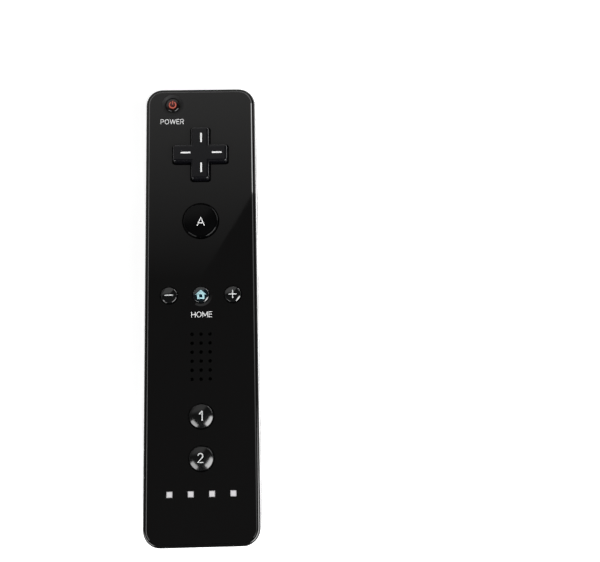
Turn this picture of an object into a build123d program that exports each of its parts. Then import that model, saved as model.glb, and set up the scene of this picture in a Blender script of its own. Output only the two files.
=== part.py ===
from build123d import *
import math
import os

# Motion controller wand: a hand-held remote with a keyed face, a finger
# trigger under its nose, a battery bay and an expansion port in its tail.
# Lengths are millimetres. +X is right, +Y is towards the infrared end and
# +Z is up through the keyed face. The origin is on the table, under the
# middle of the case.

# Cells, and the walls that set the section of the case round them
cell_diameter = 14.5
cell_length = 50.5
cell_nub_radius = 2.7
cell_nub_length = 1.0
cell_gap = 0.5
cell_side_gap = 0.25
cell_floor_gap = 0.9
cell_roof_gap = 0.3
wall = 1.8
bay_wall = 1.3
bay_ceiling = 1.2
belly_rise = 0.3
upper_depth = 9.6

# Lengths along the case, which add up to its whole length
nose_length = 66.0
hook_room = 3.6
contact_room = 6.5
bulkhead = 1.4
sync_room = 4.6
tail_length = 15.4

# Outline and edges of the case
corner_radius = 5.5
shoulder_round = 0.9
end_round = 3.0
end_drop = 0.03
face_step = 0.3
face_inset = 1.05
face_bevel = 0.26
tongue = 0.9
tongue_depth = 1.2
seam_gap = 0.1

# One overrun for every cut, and one for the sides of the belly form
over = 1.0
side_overrun = 0.05

# Rows of the face, as shares of the whole length from the infrared end
power_row_share = 0.0382
pad_row_share = 0.1561
a_row_share = 0.3078
menu_row_share = 0.472
speaker_row_share = 0.6054
one_row_share = 0.7318
two_row_share = 0.8193
lamp_row_share = 0.8916
power_offset = 9.24
menu_pitch = 10.2
lamp_pitch = 6.56
lamp_count = 4
grille_pitch = 2.85
grille_columns = 3
grille_rows = 6
grille_radius = 0.55

# Keys: radius, rise over the face, rise of the crown, and the round of its edge
power_key = (2.35, 0.2, 0.35, 0.4)
a_key = (5.65, 1.3, 0.6, 0.6)
menu_key = (2.6, 0.75, 0.6, 0.3)
digit_key = (3.75, 1.2, 0.95, 0.3)
key_gap = 0.2
key_bevel = 0.2
flange_width = 0.9
flange_height = 0.8
flange_gap = 0.1
power_dish = (3.5, 0.7)
home_dish = (3.65, 0.35)

# Direction pad
pad_span = 17.9
pad_arm = 6.0
pad_gap = 0.4
pad_rise = 2.2
pad_corner = 1.0
pad_round = 0.9
pad_drop = 1.1
pad_flange_radius = 9.6
pad_flange_height = 0.8
nub_radius = 1.2
nub_gap = 0.1

# Rubber membranes
web = 0.6
dome_top_share = 0.62
dome_base_share = 0.86
pad_dome_radius = 1.8
pad_dome_offset_share = 0.7

# Main board
board_drop = 3.9
board_thickness = 1.2
board_gap = 0.6
board_neck = 9.1
board_head = 13.2
board_head_length = 4.7
board_front_gap = 1.3
board_boss_x = 12.9
board_boss_radius = 2.4
board_boss_shares = (0.223, 0.6757)
rail_width = 0.8
rail_shares = ((0.2635, 0.4257), (0.7027, 0.8378))

# Case screws, board screws and retainer screws: head radius, head height,
# shank radius and shank length
case_screw = (1.9, 1.6, 1.0, 10.0)
board_screw = (1.6, 1.0, 0.8, 4.2)
small_screw = (1.3, 0.9, 0.7, 4.6)
thread_gap = 0.03
head_gap = 0.4
boss_wall = 1.1
case_screw_x = 12.4
nose_screw_setback = 11.0
tail_screw_from_end = 8.2
screw_floor = 2.4
case_screw_drop = 7.0
recess_depth_share = 0.45
recess_reach_share = 1.2
recess_slit_share = 0.28

# Infrared window and camera
window_width = 24.0
window_height = 12.0
window_top_gap = 2.5
window_gap = 0.1
window_lip = 0.6
window_lip_depth = 1.0
camera_size = (8.6, 6.0, 6.6)
camera_setback = 8.0
barrel_radius = 2.8
barrel_length = 1.5
lens_radius = 2.1
lens_length = 0.6

# Trigger
pivot_shares = (0.379, 0.395)
trigger_reach_share = 0.39
trigger_half = 9.0
trigger_gap = 0.25
trigger_edge_gap = 0.35
trigger_skin = 1.6
trigger_lead = 2.3
trigger_side_height = 2.4
apron_rise = 3.5
trunnion_radius = 1.2
trunnion_reach = 2.4
lug_radius = 2.4
ear_gap = 0.6
ear_width = 1.6
ear_half_length = 2.2
ear_rise = 2.8
journal_gap = 0.08
post_share = 0.606
post_radius = 1.5
retainer_thickness = 1.5
retainer_half_length = 1.8
retainer_screw_x = 14.2
retainer_boss_radius = 2.2
trigger_dome = (3.2, 2.4)
trigger_sheet_width = 9.6

# Battery cover
cover_gap = 0.15
cover_sink = 0.1
opening_margin = 0.6
cover_edge_height = 7.0
tab_width = 4.0
tab_place = 10.0
tab_thickness = 1.0
tab_length = 1.5
tab_rise = 1.85
tab_gap = 0.25
latch_half = 5.6
latch_length = 8.0
latch_slot = 0.6
latch_leg = (4.0, 1.2, 3.2)
grip_count = 4
grip_pitch = 1.1
grip_width = 0.5
grip_depth = 0.35
grip_length = 9.0
shelf = 1.2
cell_rib_width = 1.4
cell_rib_height = 3.8

# Cell contacts
sheet = 0.4
dimple = (1.8, 0.6)
contact_play = 0.1
contact_width = 7.0
leaf_width = 5.0
contact_foot = 8.5
contact_top = 14.0
contact_tab = 2.0
slot_gap = 0.15

# Sync button and its switch
sync_x = 10.0
sync_radius = 1.6
sync_gap = 0.15
sync_cap_height = 1.5
sync_flange = (2.3, 0.8)
sync_guide_wall = 0.9
sync_guide_height = 4.0
sync_lift = 0.5
switch_size = (4.2, 4.2, 3.1)

# Expansion socket
port_width = 12.6
port_height = 8.2
port_z = 13.4
port_depth = 7.7
port_wall = 1.6
port_lead = 0.2
socket_depth = 12.0
blade_width = 9.2
blade_thickness = 1.4
blade_length = 4.6
contact_count = 6
contact_pitch = 1.3
contact_size = (0.7, 3.8, 0.15)
support_rib = 1.2

# Strap slot in the tail
strap_half = 2.5
strap_low = 2.2
strap_height = 3.0
strap_inset = 4.0
strap_reach = 4.0
strap_wall = 1.2

# Rumble motor
motor_shares = (0.8712, 0.858)
can_radius = 4.4
can_length = 12.0
can_end = 2.6
can_left_share = 0.8
motor_shaft_radius = 0.75
motor_shaft_length = 5.2
weight_radius = 4.1
weight_length = 3.4
weight_gap = 0.9
weight_hub_radius = 1.7
boot_wall = 0.6
boot_margin = 1.2
cradle_width = 1.2
cradle_height = 1.6
cradle_half = 5.6
lead_radius = 0.4
lead_reach = 2.4
lead_bend = 1.6
lead_spacing = 2.4

# Speaker
speaker_radius = 9.0
speaker_under = 0.8
gasket_height = 0.4
gasket_width = 1.4
speaker_ring_gap = 0.12
speaker_ring_wall = 0.9
speaker_ring_height = 2.3
speaker_hole_gap = 0.3
cone_radius = 7.2
cone_rise = 0.9
cone_skin = 0.4
cone_seat = 1.2
frame_floor = 1.0
magnet_radius = 4.6
magnet_height = 1.4
speaker_tab = (1.2, 1.0)

# Indicator lamps and light guide
lamp_window = 1.95
lamp_gap = 0.05
guide_thickness = 1.2
guide_margin = 1.6
lamp_size = (1.6, 0.9, 0.7)

# Chips and other parts under the board: width, length and height
radio_chip = (7.0, 7.0, 1.1)
radio_can = (9.0, 8.0, 1.6)
motion_chip = (5.0, 5.0, 1.3)
memory_chip = (5.0, 4.0, 1.3)
coil_chip = (4.4, 4.4, 1.8)
crystal_chip = (3.2, 2.5, 0.8)
small_chip = (2.0, 1.25, 0.9)

# Their centres, as shares of the inner half width and, from the infrared end,
# of the nose's length for the first three and of the body length for the rest
radio_chip_shares = (-0.35, 0.448)
radio_can_shares = (0.38, 0.437)
motion_chip_shares = (0.66, 0.75)
memory_chip_shares = (0.48, 0.76)
coil_chip_shares = (-0.52, 0.78)
crystal_chip_shares = (-0.62, 0.30)
small_chip_shares = ((-0.68, 0.42), (-0.68, 0.50), (0.68, 0.42), (0.68, 0.50), (-0.68, 0.84), (0.2, 0.84))


def block(x, y, z):
    """A box that spans three pairs of (low, high) places."""
    spans = (x, y, z)
    size = [high - low for low, high in spans]
    middle = [(high + low) / 2 for low, high in spans]
    return Pos(*middle) * Box(*size)


def centred(x, y, z_low, z_high, width, length):
    """A box on a centre, between two heights."""
    return block(
        (x - width / 2, x + width / 2), (y - length / 2, y + length / 2), (z_low, z_high)
    )


def rod(x, y, z_low, z_high, radius):
    """An upright cylinder."""
    return Pos(x, y, (z_low + z_high) / 2) * Cylinder(radius, z_high - z_low)


def axle(y, z, x_low, x_high, radius):
    """A cylinder along X."""
    middle = (x_low + x_high) / 2
    return Pos(middle, y, z) * Rot(Y=90) * Cylinder(radius, x_high - x_low)


def barrel(x, z, y_low, y_high, radius):
    """A cylinder along Y."""
    middle = (y_low + y_high) / 2
    return Pos(x, middle, z) * Rot(X=90) * Cylinder(radius, y_high - y_low)


def taper(x, y, z_low, z_high, radius_low, radius_high):
    """An upright cone."""
    return Pos(x, y, (z_low + z_high) / 2) * Cone(radius_low, radius_high, z_high - z_low)


def side_profile(points_and_edges, x_low, x_high):
    """A face drawn in Y and Z, drawn out along X."""
    plane = Plane(origin=(x_low, 0, 0), x_dir=(0, 1, 0), z_dir=(1, 0, 0))
    return extrude(plane * make_face(points_and_edges), x_high - x_low)


def both_sides(solid):
    """A solid and its mirror image in the middle plane."""
    return [solid, mirror(solid, Plane.YZ)]


def save(name, *solids):
    """Writes one node: a solid, or a group of separate solids."""
    loose = []
    for item in solids:
        loose.extend(item.solids())
    node = loose[0] if len(loose) == 1 else Compound(children=loose)
    export_step(node, os.path.join("parts", name + ".step"))


# Section of the case
half_width = wall + bay_wall + cell_side_gap + cell_diameter + cell_gap / 2
inner_half = half_width - wall
bay_half = inner_half - bay_wall
cell_x = (cell_diameter + cell_gap) / 2
cell_z = belly_rise + wall + cell_floor_gap + cell_diameter / 2
bay_roof_z = cell_z + cell_diameter / 2 + cell_roof_gap
seam_z = bay_roof_z + bay_ceiling
face_z = seam_z + upper_depth
shoulder_z = face_z - face_step
roof_z = face_z - wall
board_top_z = roof_z - board_drop
board_under_z = board_top_z - board_thickness
web_z = board_top_z + web

# Places along the case
cover_length = hook_room + cell_length + contact_room + bulkhead + sync_room
body_length = nose_length + cover_length + tail_length
front_y = body_length / 2
tail_y = -front_y
cover_front_y = front_y - nose_length
cover_rear_y = cover_front_y - cover_length
bay_front_y = cover_front_y - hook_room
bay_rear_y = bay_front_y - cell_length - contact_room
power_y = front_y - power_row_share * body_length
pad_y = front_y - pad_row_share * body_length
a_y = front_y - a_row_share * body_length
menu_y = front_y - menu_row_share * body_length
speaker_y = front_y - speaker_row_share * body_length
one_y = front_y - one_row_share * body_length
two_y = front_y - two_row_share * body_length
lamp_y = front_y - lamp_row_share * body_length
nose_screw_y = front_y - nose_screw_setback
tail_screw_y = tail_y + tail_screw_from_end
window_top_z = roof_z - window_top_gap
window_low_z = window_top_z - window_height
pivot_y = front_y - pivot_shares[0] * nose_length
pivot_z = pivot_shares[1] * seam_z
trigger_reach = trigger_reach_share * nose_length
post_y = front_y - post_share * nose_length
sync_y = cover_rear_y + sync_room / 2
shelf_z = cover_edge_height
shelf_top_z = shelf_z + shelf

# The belly of the case from the infrared end, as points of one smooth curve:
# shares of the nose's length, of the seam's height and of the half width
nose_profile_shares = (
    (0.0, 0.474, 0.33),
    (0.12, 0.358, 0.37),
    (0.27, 0.21, 0.40),
    (0.42, 0.074, 0.40),
    (0.515, 0.010, 0.39),
    (0.576, -0.006, 0.39),
    (0.636, 0.058, 0.38),
    (0.697, 0.258, 0.36),
    (0.758, 0.448, 0.34),
    (0.811, 0.484, 0.34),
    (0.864, 0.389, 0.36),
    (0.924, 0.189, 0.42),
    (1.0, 0.063, 0.50),
    (1.136, 0.023, 0.55),
)
nose_spans = 30

# The belly behind it: shares of the length that is left, and as above
rear_profile_shares = (
    (0.41, 0.018, 0.55),
    (0.72, 0.003, 0.55),
    (0.84, -0.003, 0.55),
    (1.0, -0.003, 0.55),
)
recess_roof_z = nose_profile_shares[9][1] * seam_z
cover_hinge_z = nose_profile_shares[-2][1] * seam_z


def belly_stations():
    """Stations of the belly as (y, height, corner radius)."""
    rear_length = body_length - nose_length
    points = [
        (front_y - along * nose_length, high * seam_z, bend * half_width)
        for along, high, bend in nose_profile_shares
    ]
    curve = Spline(*points)
    rows = [tuple(curve @ (index / nose_spans)) for index in range(nose_spans + 1)]
    rows += [
        (cover_front_y - along * rear_length, high * seam_z, bend * half_width)
        for along, high, bend in rear_profile_shares
    ]
    slope = (rows[0][1] - rows[1][1]) / (rows[0][0] - rows[1][0])
    rows.insert(0, (front_y + over, rows[0][1] + slope * over, rows[0][2]))
    rows.append((tail_y - over, rows[-1][1], rows[-1][2]))
    return rows


def belly_section(y, bottom, corner, inset):
    """One section of the belly, drawn in by an inset."""
    side = half_width + side_overrun - inset
    low = bottom + inset
    radius = corner - inset
    top = seam_z + 2 * over
    lean = radius * (1 - math.sqrt(0.5))
    edges = [
        Line((-side, top), (-side, low + radius)),
        ThreePointArc((-side, low + radius), (-side + lean, low + lean), (radius - side, low)),
        Line((radius - side, low), (side - radius, low)),
        ThreePointArc((side - radius, low), (side - lean, low + lean), (side, low + radius)),
        Line((side, low + radius), (side, top)),
        Line((side, top), (-side, top)),
    ]
    plane = Plane(origin=(0, y, 0), x_dir=(1, 0, 0), z_dir=(0, -1, 0))
    return plane * make_face(edges)


def plan(inset, z_low, z_high):
    """The outline of the case seen from above, drawn in by an inset."""
    outline = RectangleRounded(
        2 * (half_width - inset), body_length - 2 * inset, corner_radius - inset
    )
    return extrude(Pos(0, 0, z_low) * outline, z_high - z_low)


def belly(inset, z_high):
    """The lower half of the case as a closed form, drawn in by an inset."""
    form = loft([belly_section(*row, inset) for row in belly_stations()], ruled=True)
    return form & plan(inset, inset, z_high)


def end_cutter(end_y, height, slope):
    """Takes the lower edge off one end of the case to a round."""
    ahead = 1 if end_y > 0 else -1
    radius = end_round
    centre_y = end_y - ahead * radius
    foot_y = centre_y + ahead * radius * math.sin(slope)
    foot_z = height - end_drop - math.tan(slope) * abs(end_y - foot_y)
    centre_z = foot_z + radius * math.cos(slope)
    half_turn = (slope - math.pi / 2) / 2
    middle = (
        centre_y + ahead * radius * math.cos(half_turn),
        centre_z + radius * math.sin(half_turn),
    )
    out_y = foot_y + ahead * radius * math.sin(slope)
    out_z = foot_z - radius * math.cos(slope)
    far_y = end_y + ahead * radius
    edges = [
        Line((far_y, centre_z), (end_y, centre_z)),
        ThreePointArc((end_y, centre_z), middle, (foot_y, foot_z)),
        Line((foot_y, foot_z), (out_y, out_z)),
        Line((out_y, out_z), (far_y, out_z)),
        Line((far_y, out_z), (far_y, centre_z)),
    ]
    return side_profile(edges, -half_width - over, half_width + over)


def key_hole(x, y, radius):
    """The hole of a round key, with a bevel where it meets the face."""
    bore = rod(x, y, roof_z - over, face_z + over, radius)
    lip_low = face_z - key_bevel
    lip = taper(x, y, lip_low, face_z, radius, radius + key_bevel)
    return bore + lip


def dish(x, y, radius, depth):
    """A shallow round hollow in the face, as a ball sinks into it."""
    ball = (radius ** 2 + depth ** 2) / (2 * depth)
    return Pos(x, y, face_z - depth + ball) * Sphere(ball)


def cross(span, arm, corner, z_low, z_high):
    """A cross-shaped column for the direction pad and its well."""
    bar = RectangleRounded(span, arm, corner)
    outline = bar + Rot(Z=90) * bar
    return Pos(0, pad_y, 0) * extrude(Pos(0, 0, z_low) * outline, z_high - z_low)


def make_upper_shell():
    """The face half of the case, with its key holes, bosses and rails."""
    skin = plan(0, seam_z, shoulder_z)
    skin = fillet(skin.edges().group_by(Axis.Z)[-1], shoulder_round)
    panel = plan(face_inset, roof_z, face_z)
    panel = chamfer(panel.edges().group_by(Axis.Z)[-1], face_bevel)
    shell = skin + panel
    hollow = plan(wall, seam_z - over, roof_z)
    ring = plan(wall - tongue, seam_z - tongue_depth, seam_z + over)
    ring -= plan(wall, seam_z - tongue_depth - over, seam_z + 2 * over)
    shell = shell - hollow + ring

    bosses = []
    boss_radius = case_screw[2] + thread_gap + boss_wall + seam_gap
    boss_low = seam_z - case_screw_drop + screw_floor + seam_gap
    for y in (nose_screw_y, tail_screw_y):
        bosses += both_sides(rod(case_screw_x, y, boss_low, roof_z, boss_radius))
    for y in board_boss_places():
        bosses += both_sides(rod(board_boss_x, y, board_top_z, roof_z, board_boss_radius))
    rail_x = inner_half - board_gap
    for near, far in rail_shares:
        rail = block(
            (rail_x - rail_width, inner_half + over / 2),
            (front_y - far * body_length, front_y - near * body_length),
            (board_top_z, roof_z),
        )
        bosses += both_sides(rail)
    ring_inner = speaker_radius + speaker_ring_gap
    holder = rod(0, speaker_y, roof_z - speaker_ring_height, roof_z, ring_inner + speaker_ring_wall)
    holder -= rod(0, speaker_y, roof_z - speaker_ring_height - over, roof_z, ring_inner)
    bosses.append(holder)
    shell = shell + bosses

    cuts = [
        cross(pad_span + 2 * pad_gap, pad_arm + 2 * pad_gap, pad_corner, roof_z - over, face_z + over),
        key_hole(-power_offset, power_y, power_key[0] + key_gap),
        dish(-power_offset, power_y, *power_dish),
        key_hole(0, a_y, a_key[0] + key_gap),
        key_hole(-menu_pitch, menu_y, menu_key[0] + key_gap),
        key_hole(0, menu_y, menu_key[0] + key_gap),
        dish(0, menu_y, *home_dish),
        key_hole(menu_pitch, menu_y, menu_key[0] + key_gap),
        key_hole(0, one_y, digit_key[0] + key_gap),
        key_hole(0, two_y, digit_key[0] + key_gap),
    ]
    for column in range(grille_columns):
        for row in range(grille_rows):
            x = (column - (grille_columns - 1) / 2) * grille_pitch
            y = speaker_y + (row - (grille_rows - 1) / 2) * grille_pitch
            cuts.append(rod(x, y, roof_z - over, face_z + over, grille_radius))
    for x in lamp_places():
        cuts.append(centred(x, lamp_y, roof_z - over, face_z + over, lamp_window, lamp_window))
    pilot = case_screw[2] + thread_gap
    pilot_top = seam_z - case_screw_drop + case_screw[3] + seam_gap
    for y in (nose_screw_y, tail_screw_y):
        cuts += both_sides(rod(case_screw_x, y, boss_low - over, pilot_top, pilot))
    pilot = board_screw[2] + thread_gap
    pilot_top = board_under_z + board_screw[3] + seam_gap
    for y in board_boss_places():
        cuts += both_sides(rod(board_boss_x, y, board_top_z - over, pilot_top, pilot))
    cuts.append(window_opening())
    return shell - cuts


def board_boss_places():
    """Places along the case of the two rows of bosses that carry the board."""
    return [front_y - share * body_length for share in board_boss_shares]


def lamp_places():
    """Places of the four indicator windows across the case."""
    return [(index - (lamp_count - 1) / 2) * lamp_pitch for index in range(lamp_count)]


def window_opening():
    """The opening that both halves of the case leave for the infrared window."""
    return block(
        (-window_width / 2, window_width / 2),
        (front_y - wall - over / 2, front_y + over),
        (window_low_z, window_top_z),
    )


def trigger_sweep(radius, half):
    """The space behind the trigger's front edge that its rear edge sweeps."""
    disc = axle(pivot_y, pivot_z, -half, half, radius)
    front = pivot_y + trigger_lead + trigger_edge_gap
    return disc & block((-half, half), (pivot_y - radius, front), (-over, seam_z))


def make_lower_shell():
    """The under half of the case, with the bay, bosses, ears and openings."""
    outer = belly(0, seam_z)
    ahead, first = belly_stations()[:2]
    front_slope = math.atan((ahead[1] - first[1]) / (ahead[0] - first[0]))
    outer -= end_cutter(front_y, nose_profile_shares[0][1] * seam_z, front_slope)
    outer -= end_cutter(tail_y, 0, 0)
    cavity = belly(wall, seam_z + over)
    wide = (-half_width, half_width)

    kept = [
        block(wide, (bay_rear_y - bulkhead, bay_front_y + bulkhead), (0, seam_z)),
        block(wide, (bay_front_y, cover_front_y + shelf), (0, shelf_top_z)),
        block(wide, (cover_rear_y - shelf, bay_rear_y), (0, shelf_top_z)),
        block(
            (-strap_half - strap_wall, strap_half + strap_wall),
            (tail_y, tail_y + strap_inset + strap_reach + strap_wall),
            (0, strap_low + strap_height + strap_wall),
        ),
        block(
            (-port_width / 2, port_width / 2),
            (tail_y + wall + socket_depth - support_rib, tail_y + wall + socket_depth),
            (0, port_z - port_height / 2 - port_wall),
        ),
        rod(sync_x, sync_y, shelf_z, shelf_top_z + sync_guide_height, sync_flange[0] + sync_guide_wall),
    ]
    tube_top = seam_z - case_screw_drop + screw_floor
    tube_radius = case_screw[0] + head_gap + boss_wall
    for y in (nose_screw_y, tail_screw_y):
        kept += both_sides(rod(case_screw_x, y, 0, tube_top, tube_radius))
    ear_x = trigger_half + ear_gap
    ear_top = pivot_z + ear_rise
    ear_span = (pivot_y - ear_half_length, pivot_y + ear_half_length)
    kept += both_sides(block((ear_x, ear_x + ear_width), ear_span, (0, ear_top)))
    kept += both_sides(rod(retainer_screw_x, pivot_y, 0, ear_top, retainer_boss_radius))
    motor_y, motor_z = motor_place()
    cradle_span = (motor_y - cradle_half, motor_y + cradle_half)
    seat = axle(motor_y, motor_z, -half_width, half_width, can_radius + boot_wall)
    for x in cradle_places():
        rib = block((x, x + cradle_width), cradle_span, (0, motor_z - can_radius + cradle_height))
        kept.append(rib - seat)
    shell = outer - (cavity - kept)

    bay = block(
        (-bay_half, bay_half), (bay_rear_y, bay_front_y), (-over, bay_roof_z)
    )
    bay -= block(
        (-cell_rib_width / 2, cell_rib_width / 2),
        (bay_rear_y - over, bay_front_y + over),
        (bay_roof_z - cell_rib_height, seam_z),
    )
    opening_half = bay_half + opening_margin
    cuts = [
        bay,
        block((-opening_half, opening_half), (cover_rear_y, cover_front_y), (-over, shelf_z)),
        window_opening(),
        trigger_sweep(trigger_reach + trigger_edge_gap, trigger_half + trigger_gap),
        rod(sync_x, sync_y, 0, seam_z, sync_radius + sync_gap),
        rod(sync_x, sync_y, shelf_top_z, seam_z, sync_flange[0] + sync_gap),
        block(
            (-port_width / 2 - port_lead, port_width / 2 + port_lead),
            (tail_y - over, tail_y + wall + over / 2),
            (port_z - port_height / 2 - port_lead, port_z + port_height / 2 + port_lead),
        ),
        block(
            (-strap_half, strap_half),
            (tail_y - over, tail_y + strap_inset + strap_reach),
            (strap_low, strap_low + strap_height),
        ),
        block(
            (-strap_half, strap_half),
            (tail_y + strap_inset, tail_y + strap_inset + strap_reach),
            (-over, strap_low + strap_height),
        ),
    ]
    rebate = plan(wall - tongue - seam_gap, seam_z - tongue_depth - seam_gap, seam_z + over)
    rebate -= plan(wall + seam_gap, seam_z - tongue_depth - 2 * seam_gap, seam_z + 2 * over)
    cuts.append(rebate)
    head = case_screw[0] + head_gap
    shank = case_screw[2] + thread_gap
    for y in (nose_screw_y, tail_screw_y):
        cuts += both_sides(rod(case_screw_x, y, -over, seam_z - case_screw_drop, head))
        cuts += both_sides(rod(case_screw_x, y, 0, seam_z, shank))
    journal = trunnion_radius + journal_gap
    slot = axle(pivot_y, pivot_z, ear_x - over / 2, ear_x + ear_width + over / 2, journal)
    slot += block(
        (ear_x - over / 2, ear_x + ear_width + over / 2),
        (pivot_y - journal, pivot_y + journal),
        (pivot_z, ear_top + over),
    )
    cuts += both_sides(slot)
    pilot_low = ear_top - small_screw[3]
    cuts += both_sides(
        rod(retainer_screw_x, pivot_y, pilot_low, ear_top + over, small_screw[2] + thread_gap)
    )
    tab_low = cover_hinge_z + tab_rise - tab_gap
    tab_high = cover_hinge_z + tab_rise + tab_thickness + 2 * tab_gap
    cuts += both_sides(
        block(
            (tab_place - tab_width / 2 - tab_gap, tab_place + tab_width / 2 + tab_gap),
            (cover_front_y - over, cover_front_y + shelf + over),
            (tab_low, tab_high),
        )
    )
    for side in (-1, 1):
        x = side * cell_x
        cuts.append(
            block(
                (x - contact_tab / 2 - slot_gap, x + contact_tab / 2 + slot_gap),
                (bay_front_y - sheet - slot_gap, bay_front_y),
                (bay_roof_z - over, seam_z + over),
            )
        )
    return shell - cuts


def motor_place():
    """Place of the rumble motor's axis, as (y, z)."""
    along, high = motor_shares
    return front_y - along * nose_length, high * seam_z


def cradle_places():
    """Left faces of the two ribs that carry the motor's boot."""
    first = -motor_reach() + boot_margin
    return first, first + can_length - 2 * boot_margin - cradle_width


def motor_reach():
    """How far the rear of the motor can stands to the left of the middle."""
    return can_length * can_left_share


def make_window():
    """The dark plate that closes the infrared end, with its inner lip."""
    half = window_width / 2 - window_gap
    plate = block(
        (-half, half),
        (front_y - wall, front_y),
        (window_low_z + window_gap, window_top_z - window_gap),
    )
    lip = block(
        (-half - window_lip, half + window_lip),
        (front_y - wall - window_lip_depth, front_y - wall),
        (window_low_z - window_lip, window_top_z + window_lip),
    )
    return plate + lip


def screw(x, y, z, sizes, down=False):
    """A pan-head screw with a cross recess; z is the face that its head bears on."""
    head_radius, head_height, shank_radius, shank_length = sizes
    head_z = -head_height
    body = rod(0, 0, head_z, 0, head_radius) + rod(0, 0, 0, shank_length, shank_radius)
    reach = head_radius * recess_reach_share
    slit = head_radius * recess_slit_share
    floor = head_z + recess_depth_share * head_height
    bar = centred(0, 0, head_z - over, floor, reach, slit)
    body = body - bar - Rot(Z=90) * bar
    if down:
        body = Rot(X=180) * body
    return Pos(x, y, z) * body


def make_case_screws():
    """Four screws that hold the two halves of the case together."""
    z = seam_z - case_screw_drop
    screws = []
    for y in (nose_screw_y, tail_screw_y):
        for x in (-case_screw_x, case_screw_x):
            screws.append(screw(x, y, z, case_screw))
    return screws


def crown_form(radius, low, top, crown, edge_round):
    """A round key's column: a ball-shaped crown, its rounded edge and its wall."""
    ball = (radius ** 2 + crown ** 2) / (2 * crown)
    ball_z = top - ball
    edge_x = radius - edge_round
    edge_z = ball_z + math.sqrt((ball - edge_round) ** 2 - edge_x ** 2)
    turn = math.atan2(edge_z - ball_z, edge_x)
    meet = (ball * math.cos(turn), ball_z + ball * math.sin(turn))
    high = (turn + math.pi / 2) / 2
    over_crown = (ball * math.cos(high), ball_z + ball * math.sin(high))
    over_edge = (edge_x + edge_round * math.cos(turn / 2), edge_z + edge_round * math.sin(turn / 2))
    outline = [
        Line((0, low), (radius, low)),
        Line((radius, low), (radius, edge_z)),
        ThreePointArc((radius, edge_z), over_edge, meet),
        ThreePointArc(meet, over_crown, (0, top)),
        Line((0, top), (0, low)),
    ]
    return revolve(Plane.XZ * make_face(outline), Axis.Z)


def round_key(x, y, sizes):
    """A round key: its crowned column and the flange under the roof."""
    radius, rise, crown, edge_round = sizes
    flange_top = roof_z - flange_gap
    flange_low = flange_top - flange_height
    column = Pos(x, y, 0) * crown_form(radius, flange_low, face_z + rise, crown, edge_round)
    return column + rod(x, y, flange_low, flange_top, radius + flange_width)


def flange_under():
    """Underside of a round key's flange, where its rubber dome presses."""
    return roof_z - flange_gap - flange_height


def dome(x, y, radius, top_z):
    """A rubber dome from the membrane's web up to the key that it carries."""
    return taper(x, y, web_z, top_z, radius * dome_base_share, radius * dome_top_share)


def membrane(x_half, y_low, y_high, domes, x=0):
    """A rubber sheet on the board, with its domes."""
    sheet_body = block((x - x_half, x + x_half), (y_low, y_high), (board_top_z, web_z))
    return sheet_body + domes


def make_pad():
    """The direction pad: a cross on a round flange, with a ball socket."""
    flange_top = roof_z - pad_drop
    flange_low = flange_top - pad_flange_height
    top_z = face_z + pad_rise
    body = cross(pad_span, pad_arm, pad_corner, flange_low, top_z)
    body = fillet(body.edges().group_by(Axis.Z)[-1], pad_round)
    body += rod(0, pad_y, flange_low, flange_top, pad_flange_radius)
    body -= Pos(0, pad_y, nub_z()) * Sphere(nub_radius + nub_gap)
    return body


def nub_z():
    """Height of the ball that the direction pad rocks on."""
    return roof_z - pad_drop - pad_flange_height + nub_gap


def make_pad_nub():
    """The ball under the direction pad."""
    return Pos(0, pad_y, nub_z()) * Sphere(nub_radius)


def make_board():
    """The main board: a neck and head between the nose bosses, and a tail."""
    width = inner_half - board_gap
    head_front = front_y - wall - board_front_gap
    head_rear = head_front - board_head_length
    body_front = nose_screw_y - tube_clearance()
    body_rear = lamp_y - guide_margin - board_gap
    tail_end = tail_y + wall + board_front_gap * 2
    z = (board_under_z, board_top_z)
    body = block((-width, width), (body_rear, body_front), z)
    body += block((-board_neck, board_neck), (body_front, head_rear), z)
    body += block((-board_head, board_head), (head_rear, head_front), z)
    body += block((-board_neck, board_neck), (tail_end, body_rear), z)
    hole = speaker_radius + speaker_hole_gap
    body -= rod(0, speaker_y, board_under_z - over, board_top_z + over, hole)
    for y in board_boss_places():
        radius = board_screw[2] + thread_gap * 4
        body -= both_sides(rod(board_boss_x, y, board_under_z - over, board_top_z + over, radius))
    return body


def tube_clearance():
    """How far the board's body keeps behind the middle of the nose bosses."""
    return case_screw[2] + boss_wall + seam_gap + board_gap * 2


def make_board_screws():
    """Four screws that hold the board up against the upper shell."""
    screws = []
    for y in board_boss_places():
        for x in (-board_boss_x, board_boss_x):
            screws.append(screw(x, y, board_under_z, board_screw))
    return screws


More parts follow.
